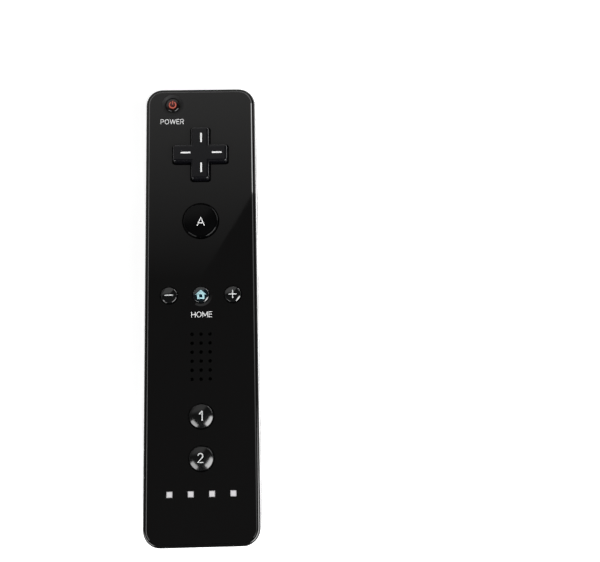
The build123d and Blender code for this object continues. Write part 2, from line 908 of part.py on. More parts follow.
def make_trigger():
    """The trigger: a tub on two trunnions, with a tail apron and a post."""
    low = pivot_y - trigger_reach
    front = pivot_y + trigger_lead
    half = trigger_half
    disc = axle(pivot_y, pivot_z, -half, half, trigger_reach)
    region = block((-half, half), (low, front), (-over, recess_roof_z + wall + apron_rise))
    hide = belly(trigger_gap, seam_z) & region & disc
    hollow = belly(trigger_gap + trigger_skin, seam_z + over)
    inner_disc = axle(pivot_y, pivot_z, -half, half, trigger_reach - trigger_skin)
    inner = block(
        (trigger_skin - half, half - trigger_skin),
        (low, front - trigger_skin),
        (-over, seam_z + over),
    )
    tub = hide - (hollow & inner & inner_disc)
    rows = [
        (pivot_y + 2 * trigger_lead, pivot_z),
        (pivot_y - lug_radius, pivot_z),
        (post_y, trigger_side_height + trigger_skin),
        (low + trigger_side_height * 2, recess_roof_z - trigger_skin),
        (low + trigger_side_height, seam_z),
        (front, seam_z),
        (pivot_y + 2 * trigger_lead, pivot_z),
    ]
    edges = [Line(rows[index], rows[index + 1]) for index in range(len(rows) - 1)]
    tub -= side_profile(edges, -half - over, half + over)
    lug = axle(pivot_y, pivot_z, half - trigger_skin, half, lug_radius)
    pin = axle(pivot_y, pivot_z, half - trigger_skin, half + trunnion_reach, trunnion_radius)
    post = rod(0, post_y, trigger_gap + trigger_skin / 2, post_top_z(), post_radius)
    gusset = block(
        (-half + trigger_skin / 2, half - trigger_skin / 2),
        (post_y - trigger_skin / 4, post_y + trigger_skin / 4),
        (trigger_gap + trigger_skin / 2, trigger_gap + trigger_skin + trigger_side_height),
    )
    return tub + both_sides(lug + pin) + gusset + post


def post_top_z():
    """Top of the trigger's post, where it meets its rubber dome."""
    return board_under_z - web - trigger_dome[1]


def make_trigger_membrane():
    """The rubber dome under the board that the trigger's post presses."""
    radius = trigger_dome[0]
    top = board_under_z - web
    width = trigger_sheet_width
    pad_body = centred(0, post_y, top, board_under_z, width, width)
    small = radius * dome_top_share
    return pad_body + taper(0, post_y, post_top_z(), top, small, radius * dome_base_share)


def make_retainer():
    """The bar that keeps the trunnions down in the ears."""
    ear_x = trigger_half + ear_gap
    low = pivot_z + ear_rise
    end = inner_half - seam_gap
    span = (pivot_y - retainer_half_length, pivot_y + retainer_half_length)
    bar = block((-end, end), span, (low, low + retainer_thickness))
    bar = fillet(bar.edges().filter_by(Axis.Z), retainer_thickness / 2)
    key = block(
        (ear_x, ear_x + ear_width),
        (pivot_y - trunnion_radius, pivot_y + trunnion_radius),
        (pivot_z + trunnion_radius + journal_gap, low),
    )
    hole = small_screw[2] + 2 * thread_gap
    bores = both_sides(rod(retainer_screw_x, pivot_y, low - over, low + 2 * over, hole))
    return bar + both_sides(key) - bores


def make_retainer_screws():
    """Two screws that hold the trigger's retainer."""
    z = pivot_z + ear_rise + retainer_thickness
    pair = (-retainer_screw_x, retainer_screw_x)
    return [screw(x, pivot_y, z, small_screw, down=True) for x in pair]


def make_cover():
    """The battery cover, with two hooks in front and a spring tongue behind."""
    half = bay_half + opening_margin - cover_gap
    rear = cover_rear_y + cover_gap
    front = cover_front_y - cover_gap
    skin = belly(cover_sink, seam_z) - belly(wall, seam_z + over)
    cover = skin & block((-half, half), (rear, front), (-over, shelf_z - tab_gap))
    tab_z = cover_hinge_z + tab_rise
    root_z = cover_hinge_z + wall / 2
    tab = block(
        (tab_place - tab_width / 2, tab_place + tab_width / 2),
        (front - 2 * tab_length, front + tab_length),
        (tab_z, tab_z + tab_thickness),
    )
    root = block(
        (tab_place - tab_width / 2, tab_place + tab_width / 2),
        (front - 2 * tab_length, front),
        (root_z, tab_z + tab_thickness),
    )
    cover += both_sides(tab + root)
    leg_half, leg_depth, leg_height = latch_leg
    cover += block((-leg_half, leg_half), (rear, rear + leg_depth), (wall / 2, wall + leg_height))
    for side in (-1, 1):
        x = side * latch_half
        slot = (x - latch_slot / 2, x + latch_slot / 2)
        cover -= block(slot, (rear - over, rear + latch_length), (-over, wall + over))
    for index in range(grip_count):
        y = rear + 2 * latch_leg[1] + index * grip_pitch
        groove = centred(0, y, -over, cover_sink + grip_depth, grip_length, grip_width)
        cover -= groove
    return cover


def cell_span(forward):
    """Ends of a cell: its flat end and the tip of its nub, as places along Y."""
    stop = sheet + dimple[1] + contact_play
    if forward:
        tip = bay_front_y - stop
        return tip - cell_length, tip
    tip = bay_rear_y + stop
    return tip + cell_length, tip


def make_cell(x, forward):
    """A cell: a can with rounded rims and a nub."""
    flat, tip = cell_span(forward)
    toward = 1 if tip > flat else -1
    shoulder = tip - toward * cell_nub_length
    can = barrel(x, cell_z, min(flat, shoulder), max(flat, shoulder), cell_diameter / 2)
    can = chamfer(can.edges().filter_by(GeomType.CIRCLE), cell_side_gap)
    base = shoulder - toward * cell_nub_length
    return can + barrel(x, cell_z, min(base, tip), max(base, tip), cell_nub_radius)


def contact_plate(x, end_y, toward, tab):
    """The sheet contact that a nub meets, standing on an end wall."""
    inner = end_y + toward * sheet
    span = (min(end_y, inner), max(end_y, inner))
    wide = (x - contact_width / 2, x + contact_width / 2)
    body = block(wide, span, (contact_foot, contact_top))
    tip = inner + toward * dimple[1]
    bump = Pos(x, (inner + tip) / 2, cell_z) * Rot(X=-90 * toward)
    body += bump * Cone(dimple[0], dimple[0] * dome_top_share, dimple[1])
    if tab:
        top = board_under_z
        body += block((x - contact_tab / 2, x + contact_tab / 2), span, (contact_foot, top))
    return body


def contact_leaf(x, end_y, toward, tab):
    """The bowed leaf that presses on a cell's flat end."""
    forward = toward < 0
    flat, _ = cell_span(not forward)
    reach = abs(flat - end_y) - contact_play
    height = contact_top - contact_foot
    inner = end_y + toward * sheet
    span = (min(end_y, inner), max(end_y, inner))
    wide = (x - contact_width / 2, x + contact_width / 2)
    body = block(wide, span, (contact_foot, contact_top))
    mid_z = contact_foot + height / 2
    rows = [
        (end_y, contact_top),
        (end_y + toward * reach, mid_z + sheet),
        (end_y + toward * reach, mid_z - sheet),
        (end_y + toward * 2 * sheet, contact_foot),
        (end_y + toward * 2 * sheet, contact_foot + 2 * sheet),
        (end_y + toward * (reach - 2 * sheet), mid_z),
        (end_y, contact_top - 2 * sheet),
        (end_y, contact_top),
    ]
    edges = [Line(rows[index], rows[index + 1]) for index in range(len(rows) - 1)]
    body += side_profile(edges, x - leaf_width / 2, x + leaf_width / 2)
    if tab:
        body += block((x - contact_tab / 2, x + contact_tab / 2), span, (contact_foot, board_under_z))
    return body


def make_bridge():
    """The rear contact, which joins one cell to the other."""
    strip = block(
        (-cell_x, cell_x), (bay_rear_y, bay_rear_y + sheet), (contact_foot, contact_foot + contact_tab)
    )
    return strip + contact_leaf(-cell_x, bay_rear_y, 1, False) + contact_plate(cell_x, bay_rear_y, 1, False)


def make_sync_button():
    """The pairing button: cap, flange and plunger."""
    low = shelf_z - sync_cap_height
    flange_radius, flange_height = sync_flange
    body = rod(sync_x, sync_y, low, switch_low_z() - sync_lift, sync_radius)
    body = chamfer(body.edges().group_by(Axis.Z)[0], sync_gap)
    return body + rod(sync_x, sync_y, shelf_top_z, shelf_top_z + flange_height, flange_radius)


def switch_low_z():
    """Underside of the switch that the pairing button presses."""
    return board_under_z - switch_size[2]


def make_sync_switch():
    """The switch under the board."""
    width, length, _ = switch_size
    return centred(sync_x, sync_y, switch_low_z(), board_under_z, width, length)


def make_socket():
    """The expansion socket: an open box with a contact blade inside."""
    mouth = tail_y + wall
    rear = mouth + socket_depth
    half = port_width / 2 + port_wall
    low = port_z - port_height / 2 - port_wall
    body = block((-half, half), (mouth, rear), (low, board_under_z))
    body -= block(
        (-port_width / 2, port_width / 2),
        (mouth - over, mouth + port_depth),
        (port_z - port_height / 2, port_z + port_height / 2),
    )
    blade = block(
        (-blade_width / 2, blade_width / 2),
        (mouth + port_depth - blade_length, mouth + port_depth + over),
        (port_z - blade_thickness / 2, port_z + blade_thickness / 2),
    )
    return body + blade


def make_socket_contacts():
    """The strips on the blade of the socket."""
    width, length, height = contact_size
    y_high = tail_y + wall + port_depth - seam_gap
    z = port_z + blade_thickness / 2
    strips = []
    for index in range(contact_count):
        x = (index - (contact_count - 1) / 2) * contact_pitch
        strips.append(block((x - width / 2, x + width / 2), (y_high - length, y_high), (z, z + height)))
    return strips


def make_camera():
    """The infrared camera's housing, with its lens barrel."""
    width, depth, height = camera_size
    front = front_y - camera_setback + depth / 2
    z = (window_low_z + window_top_z) / 2
    body = block((-width / 2, width / 2), (front - depth, front), (board_under_z - height, board_under_z))
    body += barrel(0, z, front - over, front + barrel_length, barrel_radius)
    return body - barrel(0, z, front + barrel_length - lens_length, front + barrel_length + over, lens_radius)


def make_camera_lens():
    """The lens, seated in the barrel."""
    front = front_y - camera_setback + camera_size[1] / 2 + barrel_length
    z = (window_low_z + window_top_z) / 2
    return barrel(0, z, front - lens_length, front, lens_radius - thread_gap)


def make_motor():
    """The rumble motor's can, with a narrow end cap."""
    y, z = motor_place()
    left = -motor_reach()
    can = axle(y, z, left, left + can_length, can_radius)
    cap = axle(y, z, left - over / 2, left, can_end)
    bore = axle(y, z, left + can_length - over, left + can_length + over, motor_shaft_radius + 2 * thread_gap)
    return can + cap - bore


def make_rotor():
    """The motor's shaft and the half-round weight on it."""
    y, z = motor_place()
    right = can_length - motor_reach()
    shaft = axle(y, z, right - over + 2 * thread_gap, right + motor_shaft_length, motor_shaft_radius)
    low = right + weight_gap
    half_round = axle(y, z, low, low + weight_length, weight_radius)
    half_round &= block((low - over, low + weight_length + over), (y - weight_radius, y + weight_radius),
                        (z - weight_radius, z))
    return shaft + half_round + axle(y, z, low, low + weight_length, weight_hub_radius)


def make_boot():
    """The rubber sleeve round the motor."""
    y, z = motor_place()
    left = -motor_reach() + boot_margin / 2
    right = left + can_length - boot_margin
    sleeve = axle(y, z, left, right, can_radius + boot_wall)
    sleeve &= block((left, right), (y - 2 * can_radius, y + 2 * can_radius), (0, board_under_z))
    return sleeve - axle(y, z, left - over, right + over, can_radius)


def make_motor_leads():
    """Two leads from the motor's end cap up to the board."""
    y, z = motor_place()
    start = -motor_reach() - over / 2
    leads = []
    for side in (-1, 1):
        place = y + side * lead_spacing / 2
        path = FilletPolyline(
            (start, place, z), (start - lead_reach, place, z), (start - lead_reach, place, board_under_z),
            radius=lead_bend,
        )
        plane = Plane(origin=(start, place, z), z_dir=(-1, 0, 0))
        leads.append(sweep(plane * Circle(lead_radius), path))
    return leads


def speaker_frame_z():
    """Heights of the speaker frame's underside and of its rim."""
    return board_under_z - speaker_under, roof_z - gasket_height


def make_speaker_frame():
    """The speaker's round frame, open to the grille."""
    low, top = speaker_frame_z()
    frame = rod(0, speaker_y, low, top, speaker_radius)
    frame -= rod(0, speaker_y, low + frame_floor, top + over, cone_radius)
    seat = rod(0, speaker_y, top - cone_seat, top + over, cone_radius + gasket_width / 2)
    return frame - seat


def make_speaker_cone():
    """The speaker's thin dished cone on its seat."""
    _, top = speaker_frame_z()
    low = top - cone_seat
    rim = rod(0, speaker_y, low, low + cone_skin, cone_radius + gasket_width / 2 - thread_gap)
    bowl = cone_radius * dome_top_share
    rim -= rod(0, speaker_y, low - over, low + over, bowl)
    cap = taper(0, speaker_y, low - cone_rise, low, bowl / 2, bowl)
    cap += rod(0, speaker_y, low, low + cone_skin, bowl + thread_gap)
    hollow = taper(0, speaker_y, low - cone_rise + cone_skin, low + cone_skin, bowl / 2, bowl)
    return rim + (cap - hollow)


def make_speaker_magnet():
    """The magnet pot under the speaker."""
    low, _ = speaker_frame_z()
    return rod(0, speaker_y, low - magnet_height, low, magnet_radius)


def make_speaker_gasket():
    """The foam ring between the speaker and the roof."""
    _, top = speaker_frame_z()
    ring = rod(0, speaker_y, top, roof_z, speaker_radius)
    return ring - rod(0, speaker_y, top - over, roof_z + over, speaker_radius - gasket_width)


def make_speaker_tabs():
    """Two sheet tabs from the speaker's frame to the board."""
    low, _ = speaker_frame_z()
    far = speaker_radius + speaker_hole_gap + speaker_tab[1]
    tabs = []
    for side in (-1, 1):
        y = speaker_y + side * lead_spacing
        across = (y - speaker_tab[0] / 2, y + speaker_tab[0] / 2)
        foot = block((far - speaker_tab[1], far), across, (low - sheet, board_under_z))
        tabs.append(foot + block((cone_radius, far), across, (low - sheet, low)))
    return tabs


def make_light_guide():
    """The clear bar whose four posts fill the indicator windows."""
    half = lamp_places()[-1] + guide_margin
    y = (lamp_y - guide_margin, lamp_y + guide_margin)
    bar = block((-half, half), y, (roof_z - guide_thickness, roof_z))
    width = lamp_window - 2 * lamp_gap
    posts = [centred(x, lamp_y, roof_z - over / 2, face_z, width, width) for x in lamp_places()]
    return bar + posts


def make_lamps():
    """The four indicator lamps on the board."""
    width, length, height = lamp_size
    return [
        centred(x, lamp_y, board_top_z, board_top_z + height, width, length) for x in lamp_places()
    ]


def under_board(place, size, run=body_length):
    """A part soldered under the board, at shares of the half width and of a run."""
    width, length, height = size
    x = place[0] * inner_half
    y = front_y - place[1] * run
    return centred(x, y, board_under_z - height, board_under_z, width, length)


def make_small_chips():
    """The larger capacitors under the board."""
    return [under_board(place, small_chip) for place in small_chip_shares]


def pad_domes():
    """The four domes under the arms of the direction pad."""
    reach = pad_dome_offset_share * pad_span / 2
    top = roof_z - pad_drop - pad_flange_height
    places = ((reach, 0), (-reach, 0), (0, reach), (0, -reach))
    return [dome(x, pad_y + y, pad_dome_radius, top) for x, y in places]


def make_face_membrane():
    """The rubber sheet under the direction pad and the round key."""
    half = board_boss_x - board_boss_radius - board_gap
    y_high = pad_y + pad_flange_radius
    y_low = a_y - a_key[0] - flange_width
    domes = pad_domes()
    domes.append(dome(0, a_y, a_key[0] * dome_top_share, flange_under()))
    return membrane(half, y_low, y_high, domes)


def make_menu_membrane():
    """The rubber strip under the three menu keys."""
    half = menu_pitch + menu_key[0]
    reach = menu_key[0] + flange_width
    places = (-menu_pitch, 0, menu_pitch)
    domes = [dome(x, menu_y, menu_key[0], flange_under()) for x in places]
    return membrane(half, menu_y - reach, menu_y + reach, domes)


def make_digit_membrane():
    """The rubber strip under keys 1 and 2."""
    half = digit_key[0] + flange_width
    domes = [dome(0, y, digit_key[0] * dome_top_share, flange_under()) for y in (one_y, two_y)]
    return membrane(half, two_y - half, one_y + half, domes)


def make_power_membrane():
    """The rubber pad under the power button."""
    half = power_key[0]
    domes = [dome(-power_offset, power_y, power_key[0], flange_under())]
    return membrane(half, power_y - half, power_y + half, domes, x=-power_offset)


os.makedirs("parts", exist_ok=True)
save("upper_shell", make_upper_shell())
save("lower_shell", make_lower_shell())
save("infrared_window", make_window())
save("battery_cover", make_cover())
save("case_screws", *make_case_screws())
save("power_button", round_key(-power_offset, power_y, power_key))
save("dpad", make_pad())
save("dpad_pivot", make_pad_nub())
save("a_button", round_key(0, a_y, a_key))
save("minus_button", round_key(-menu_pitch, menu_y, menu_key))
save("home_button", round_key(0, menu_y, menu_key))
save("plus_button", round_key(menu_pitch, menu_y, menu_key))
save("one_button", round_key(0, one_y, digit_key))
save("two_button", round_key(0, two_y, digit_key))
save("power_membrane", make_power_membrane())
save("face_membrane", make_face_membrane())
save("menu_membrane", make_menu_membrane())
save("digit_membrane", make_digit_membrane())
save("trigger", make_trigger())
save("trigger_retainer", make_retainer())
save("retainer_screws", *make_retainer_screws())
save("trigger_membrane", make_trigger_membrane())
save("main_board", make_board())
save("board_screws", *make_board_screws())
save("radio_chip", under_board(radio_chip_shares, radio_chip, nose_length))
save("radio_shield", under_board(radio_can_shares, radio_can, nose_length))
save("motion_sensor", under_board(motion_chip_shares, motion_chip, nose_length))
save("memory_chip", under_board(memory_chip_shares, memory_chip))
save("regulator_coil", under_board(coil_chip_shares, coil_chip))
save("clock_crystal", under_board(crystal_chip_shares, crystal_chip))
save("capacitors", *make_small_chips())
save("infrared_camera", make_camera())
save("camera_lens", make_camera_lens())
save("rumble_motor", make_motor())
save("rumble_rotor", make_rotor())
save("motor_boot", make_boot())
save("motor_leads", *make_motor_leads())
save("speaker_frame", make_speaker_frame())
save("speaker_cone", make_speaker_cone())
save("speaker_magnet", make_speaker_magnet())
save("speaker_gasket", make_speaker_gasket())
save("speaker_tabs", *make_speaker_tabs())
save("light_guide", make_light_guide())
save("indicator_lamps", *make_lamps())
save("battery_cells", make_cell(-cell_x, True), make_cell(cell_x, False))
save("positive_terminal", contact_plate(-cell_x, bay_front_y, -1, True))
save("negative_terminal", contact_leaf(cell_x, bay_front_y, -1, True))
save("bridge_contact", make_bridge())
save("sync_button", make_sync_button())
save("sync_switch", make_sync_switch())
save("expansion_socket", make_socket())
save("socket_contacts", *make_socket_contacts())
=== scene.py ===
"""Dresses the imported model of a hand-held motion controller wand.

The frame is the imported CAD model. Its nodes keep their shapes and get finishes
here, and the printed marks of the keyed face are added as thin pieces that
ride on the keys they belong to. Lengths are metres in the row frame: +X right,
+Y towards the infrared end, +Z up through the keyed face. Marks and what they
lie on are in millimetres.
"""

from __future__ import annotations

import logging
import math
from dataclasses import dataclass
from enum import Enum

import bmesh
import bpy
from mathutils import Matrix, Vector


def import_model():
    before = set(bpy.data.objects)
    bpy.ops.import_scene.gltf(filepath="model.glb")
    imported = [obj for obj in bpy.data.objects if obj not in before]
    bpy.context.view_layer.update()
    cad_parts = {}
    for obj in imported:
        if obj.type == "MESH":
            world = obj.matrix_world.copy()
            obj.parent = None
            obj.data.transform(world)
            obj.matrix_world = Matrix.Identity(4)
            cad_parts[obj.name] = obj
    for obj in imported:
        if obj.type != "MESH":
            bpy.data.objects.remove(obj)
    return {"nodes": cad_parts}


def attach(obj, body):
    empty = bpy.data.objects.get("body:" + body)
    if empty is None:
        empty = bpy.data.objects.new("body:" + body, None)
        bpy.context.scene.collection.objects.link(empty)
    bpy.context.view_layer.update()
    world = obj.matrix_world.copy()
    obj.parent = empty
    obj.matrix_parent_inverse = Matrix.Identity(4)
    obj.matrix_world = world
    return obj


log = logging.getLogger("wand")

Colour = tuple[float, float, float]
Point = tuple[float, float]
Box = tuple[Point, Point]
Socket = bpy.types.NodeSocket
MILLI = 0.001
WHITE: Colour = (1.0, 1.0, 1.0)
BLACK: Colour = (0.0, 0.0, 0.0)
EASED = "SMOOTHSTEP"


class Body(Enum):
    """The moving bodies that the added pieces ride on."""

    CASE = "case"
    POWER = "power_button"
    PAD = "dpad"
    ROUND = "a_button"
    MINUS = "minus_button"
    HOME = "home_button"
    PLUS = "plus_button"
    ONE = "one_button"
    TWO = "two_button"


class Effect(Enum):
    """The shared shader groups, by the name each is kept under."""

    GRAIN = "mould_grain"
    HANDLING = "handling_marks"
    STREAKS = "rolled_streaks"
    GLOW = "centre_glow"


class Wiring:
    """Adds nodes to one tree and joins their sockets."""

    def __init__(self, tree: bpy.types.NodeTree) -> None:
        """Takes the tree that the nodes go into."""
        self.tree = tree

    def feed(self, entry: Socket, value: Socket | Colour | float) -> None:
        """Joins a socket to an input, or sets the input.

        Args:
            entry: the input.
            value: a socket, or a colour, a place or a number to set it to.
        """
        if isinstance(value, Socket):
            self.tree.links.new(value, entry)
        elif isinstance(value, tuple):
            entry.default_value = (*value, 1.0)[: len(entry.default_value)]
        else:
            entry.default_value = value

    def add(self, kind: str, **settings: object) -> bpy.types.Node:
        """Adds a node.

        Args:
            kind: the node's type, without the leading ShaderNode.
            settings: properties by name; a name that is one of the node's
                inputs, with underscores for spaces, feeds that input.

        Returns:
            The new node.
        """
        node = self.tree.nodes.new("ShaderNode" + kind)
        for name, value in settings.items():
            if hasattr(node, name):
                setattr(node, name, value)
            else:
                self.feed(node.inputs[name.replace("_", " ")], value)
        return node

    def place(self, effect: Effect, **values: float) -> bpy.types.Node:
        """Places a shared group in this tree.

        Args:
            effect: which group.
            values: its inputs by name, with underscores for spaces.

        Returns:
            The group's node.
        """
        return self.add("Group", node_tree=EffectLibrary.tree(effect), **values)

    def work(self, operation: str, *terms: Socket | float) -> Socket:
        """Works a value out from others.

        Args:
            operation: the Math node's operation.
            terms: its inputs in order, as sockets or numbers.

        Returns:
            The worked value.
        """
        node = self.add("Math", operation=operation)
        for entry, term in zip(node.inputs, terms):
            self.feed(entry, term)
        return node.outputs[0]

    def vary(self, value: Socket, comes: Point, goes: Point = (0.0, 1.0), kind: str = "LINEAR") -> Socket:
        """Maps one range of values onto another and holds it at both ends.

        Args:
            value: the value to map.
            comes: the ends of the range that it comes in.
            goes: the ends of the range that it leaves in.
            kind: how it runs between them.

        Returns:
            The mapped value.
        """
        node = self.add("MapRange", interpolation_type=kind, Value=value)
        for name, number in zip(("From Min", "From Max", "To Min", "To Max"), (*comes, *goes)):
            node.inputs[name].default_value = number
        return node.outputs["Result"]

    def tint(self, share: Socket, low: Socket | Colour, high: Socket | Colour) -> Socket:
        """Mixes two colours.

        Args:
            share: how much of the second colour shows.
            low: the first colour.
            high: the second colour.

        Returns:
            The mixed colour.
        """
        return self.add("Mix", data_type="RGBA", Factor=share, A=low, B=high).outputs["Result"]

    def spot(self) -> Socket:
        """The place on the piece, which is also its place in the row frame at rest."""
        return self.add("TexCoord").outputs["Object"]

    def axes(self, place: Socket) -> tuple[Socket, Socket, Socket]:
        """The three parts of a place."""
        return tuple(self.add("SeparateXYZ", Vector=place).outputs)


class EffectLibrary:
    """Builds each shared shader group once."""

    smudge_size = 55.0
    smudge_span = (0.42, 0.68)
    speck_size = 900.0
    glow_span = (1.0, 0.35)

    @classmethod
    def tree(cls, effect: Effect) -> bpy.types.NodeTree:
        """Makes the node tree of one effect on first use.

        Args:
            effect: which effect.

        Returns:
            Its tree.
        """
        makers = {
            Effect.GRAIN: cls._grain,
            Effect.HANDLING: cls._handling,
            Effect.STREAKS: cls._streaks,
            Effect.GLOW: cls._glow,
        }
        return bpy.data.node_groups.get(effect.value) or makers[effect]()

    @staticmethod
    def _open(
        effect: Effect, takes: dict[str, float], gives: tuple[str, ...]
    ) -> tuple[Wiring, bpy.types.NodeOutputs, bpy.types.NodeInputs]:
        """Starts a group with its sockets.

        Args:
            effect: the effect that the group is for.
            takes: inputs by name, with the value each starts at.
            gives: names of the outputs.

        Returns:
            The wiring, what comes in by name and what goes out by name.
        """
        tree = bpy.data.node_groups.new(effect.value, "ShaderNodeTree")
        for name, value in takes.items():
            socket = tree.interface.new_socket(name=name, in_out="INPUT", socket_type="NodeSocketFloat")
            socket.default_value = value
        for name in gives:
            tree.interface.new_socket(name=name, in_out="OUTPUT", socket_type="NodeSocketFloat")
        entry = tree.nodes.new("NodeGroupInput")
        leave = tree.nodes.new("NodeGroupOutput")
        return Wiring(tree), entry.outputs, leave.inputs

    @classmethod
    def _grain(cls) -> bpy.types.NodeTree:
        """Fine spark-eroded grain of a mould, as a height.

        Returns:
            The group's tree.
        """
        wires, given, out = cls._open(Effect.GRAIN, {"Scale": 3000.0, "Depth": 1.0}, ("Height",))
        where = wires.spot()
        fine = wires.add("TexNoise", Vector=where, Scale=given["Scale"], Detail=3.0, Roughness=0.6)
        pits = wires.add("TexVoronoi", Vector=where, Scale=given["Scale"])
        both = wires.work("ADD", fine.outputs["Fac"], pits.outputs["Distance"])
        wires.feed(out["Height"], wires.work("MULTIPLY", both, given["Depth"]))
        return wires.tree

    @classmethod
    def _handling(cls) -> bpy.types.NodeTree:
        """Faint smudges and specks from handling, as a roughness and a mask.

        Returns:
            The group's tree.
        """
        takes = {"Roughness": 0.1, "Smudge": 0.03, "Speck Density": 0.0}
        wires, given, out = cls._open(Effect.HANDLING, takes, ("Roughness", "Specks"))
        where = wires.spot()
        broad = wires.add("TexNoise", Vector=where, Scale=cls.smudge_size, Detail=4.0, Distortion=1.2)
        smudged = wires.vary(broad.outputs["Fac"], cls.smudge_span)
        dust = wires.add("TexVoronoi", Vector=where, Scale=cls.speck_size)
        wires.feed(out["Roughness"], wires.work("MULTIPLY_ADD", smudged, given["Smudge"], given["Roughness"]))
        wires.feed(out["Specks"], wires.work("LESS_THAN", dust.outputs["Distance"], given["Speck Density"]))
        return wires.tree

    @classmethod
    def _streaks(cls) -> bpy.types.NodeTree:
        """Long fine lines of rolled or turned metal, as a height and a tone.

        Returns:
            The group's tree.
        """
        takes = {"Scale": 400.0, "Stretch": 12.0}
        wires, given, out = cls._open(Effect.STREAKS, takes, ("Height", "Tone"))
        across, along, up = wires.axes(wires.spot())
        squeezed = wires.work("DIVIDE", along, given["Stretch"])
        where = wires.add("CombineXYZ", X=across, Y=squeezed, Z=up).outputs[0]
        lines = wires.add("TexNoise", Vector=where, Scale=given["Scale"], Detail=5.0, Roughness=0.7)
        wires.feed(out["Height"], lines.outputs["Fac"])
        wires.feed(out["Tone"], lines.outputs["Fac"])
        return wires.tree

    @classmethod
    def _glow(cls) -> bpy.types.NodeTree:
        """A mask that is full in the middle of a round patch and gone at its rim.

        Returns:
            The group's tree.
        """
        takes = {"Centre X": 0.0, "Centre Y": 0.0, "Reach": 0.002}
        wires, given, out = cls._open(Effect.GLOW, takes, ("Mask",))
        across, along, _ = wires.axes(wires.spot())
        where = wires.add("CombineXYZ", X=across, Y=along)
        middle = wires.add("CombineXYZ", X=given["Centre X"], Y=given["Centre Y"])
        away = wires.add("VectorMath", operation="DISTANCE")
        wires.feed(away.inputs[0], where.outputs[0])
        wires.feed(away.inputs[1], middle.outputs[0])
        share = wires.work("DIVIDE", away.outputs["Value"], given["Reach"])
        wires.feed(out["Mask"], wires.vary(share, cls.glow_span, kind=EASED))
        return wires.tree


class Surface(Wiring):
    """The wiring of one material, with its shader in place."""

    def __init__(self, material: bpy.types.Material, **settings: object) -> None:
        """Lays the shader and joins it to the material's output.

        Args:
            material: an empty material.
            settings: inputs of the shader by name, as in add.
        """
        super().__init__(material.node_tree)
        shader = self.add("BsdfPrincipled", **settings)
        self.add("OutputMaterial", Surface=shader.outputs["BSDF"])
        self.inputs = shader.inputs

    def set(self, name: str, value: Socket | Colour | float) -> None:
        """Feeds the shader's input of that name."""
        self.feed(self.inputs[name], value)

    def soil(self, roughness: float, smudge: float, specks: float = 0.0) -> bpy.types.NodeOutputs:
        """Lets handling marks vary the gloss.

        Args:
            roughness: the clean surface's roughness.
            smudge: how much a smudge adds to it.
            specks: how dense the dust is.

        Returns:
            The outputs of the marks.
        """
        marks = self.place(Effect.HANDLING, Roughness=roughness, Smudge=smudge, Speck_Density=specks)
        self.set("Roughness", marks.outputs["Roughness"])
        return marks.outputs

    def bump(self, height: Socket, strength: float, depth: float) -> None:
        """Raises the surface by a height that feeds the shader's normal.

        Args:
            height: the height to follow.
            strength: share of the effect, 0 to 1.
            depth: height of the relief, in metres.
        """
        relief = self.add("Bump", Strength=strength, Distance=depth, Height=height)
        self.set("Normal", relief.outputs["Normal"])

    def patch(self, centre: Point, reach: float) -> Socket:
        """The mask of a round patch of the surface."""
        glow = self.place(Effect.GLOW, Centre_X=centre[0], Centre_Y=centre[1], Reach=reach)
        return glow.outputs["Mask"]


def bare_material(title: str) -> bpy.types.Material:
    """An empty material.

    Args:
        title: its name.

    Returns:
        The material, without nodes.
    """
    material = bpy.data.materials.new(title)
    material.use_nodes = True
    material.node_tree.nodes.clear()
    return material


def shaded(colour: Colour, share: float) -> Colour:
    """A colour made darker or brighter by a share, up to white."""
    return tuple(min(1.0, channel * share) for channel in colour)


@dataclass(frozen=True)
class Finish:
    """A finish: its name, colour and gloss, and how its surface varies."""

    name: str
    colour: Colour
    roughness: float

    def build(self) -> bpy.types.Material:
        """Makes the material of this finish on first use.

        Returns:
            The material.
        """
        title = "finish_" + self.name
        known = bpy.data.materials.get(title)
        if known is not None:
            return known
        material = bare_material(title)
        self.wire(Surface(material, Base_Color=self.colour, Roughness=self.roughness))
        material.diffuse_color = (*self.colour, 1.0)
        return material

    def wire(self, coat: Surface) -> None:
        """Adds what varies over the surface; a plain finish adds nothing."""


@dataclass(frozen=True)
class Moulding(Finish):
    """Moulded plastic or rubber with a grain from its tool."""

    smudge: float = 0.03
    specks: float = 0.0
    grain: float = 3000.0
    relief: float = 0.00001
    strength: float = 0.2
    index: float = 1.5
    dust: float = 0.02

    def wire(self, coat: Surface) -> None:
        """Adds grain, smudges and the odd pale speck of dust.

        Args:
            coat: the surface that they go on.
        """
        coat.set("IOR", self.index)
        marks = coat.soil(self.roughness, self.smudge, self.specks)
        dusty = tuple(min(1.0, channel + self.dust) for channel in self.colour)
        coat.set("Base Color", coat.tint(marks["Specks"], self.colour, dusty))
        grain = coat.place(Effect.GRAIN, Scale=self.grain, Depth=1.0)
        coat.bump(grain.outputs["Height"], self.strength, self.relief)


@dataclass(frozen=True)
class FacePanel(Moulding):
    """The polished face, with the sunk ring round one key left dull."""

    ring: Point = (-0.00924, 0.06835)
    reach: float = 0.0050
    rim: Point = (0.36, 0.44)
    dull: float = 0.5

    def wire(self, coat: Surface) -> None:
        """Raises the roughness within the sunk ring.

        Args:
            coat: the face's surface.
        """
        super().wire(coat)
        polish = coat.inputs["Roughness"].links[0].from_socket
        inside = coat.vary(coat.patch(self.ring, self.reach), self.rim, (0.0, self.dull))
        coat.set("Roughness", coat.work("MAXIMUM", inside, polish))


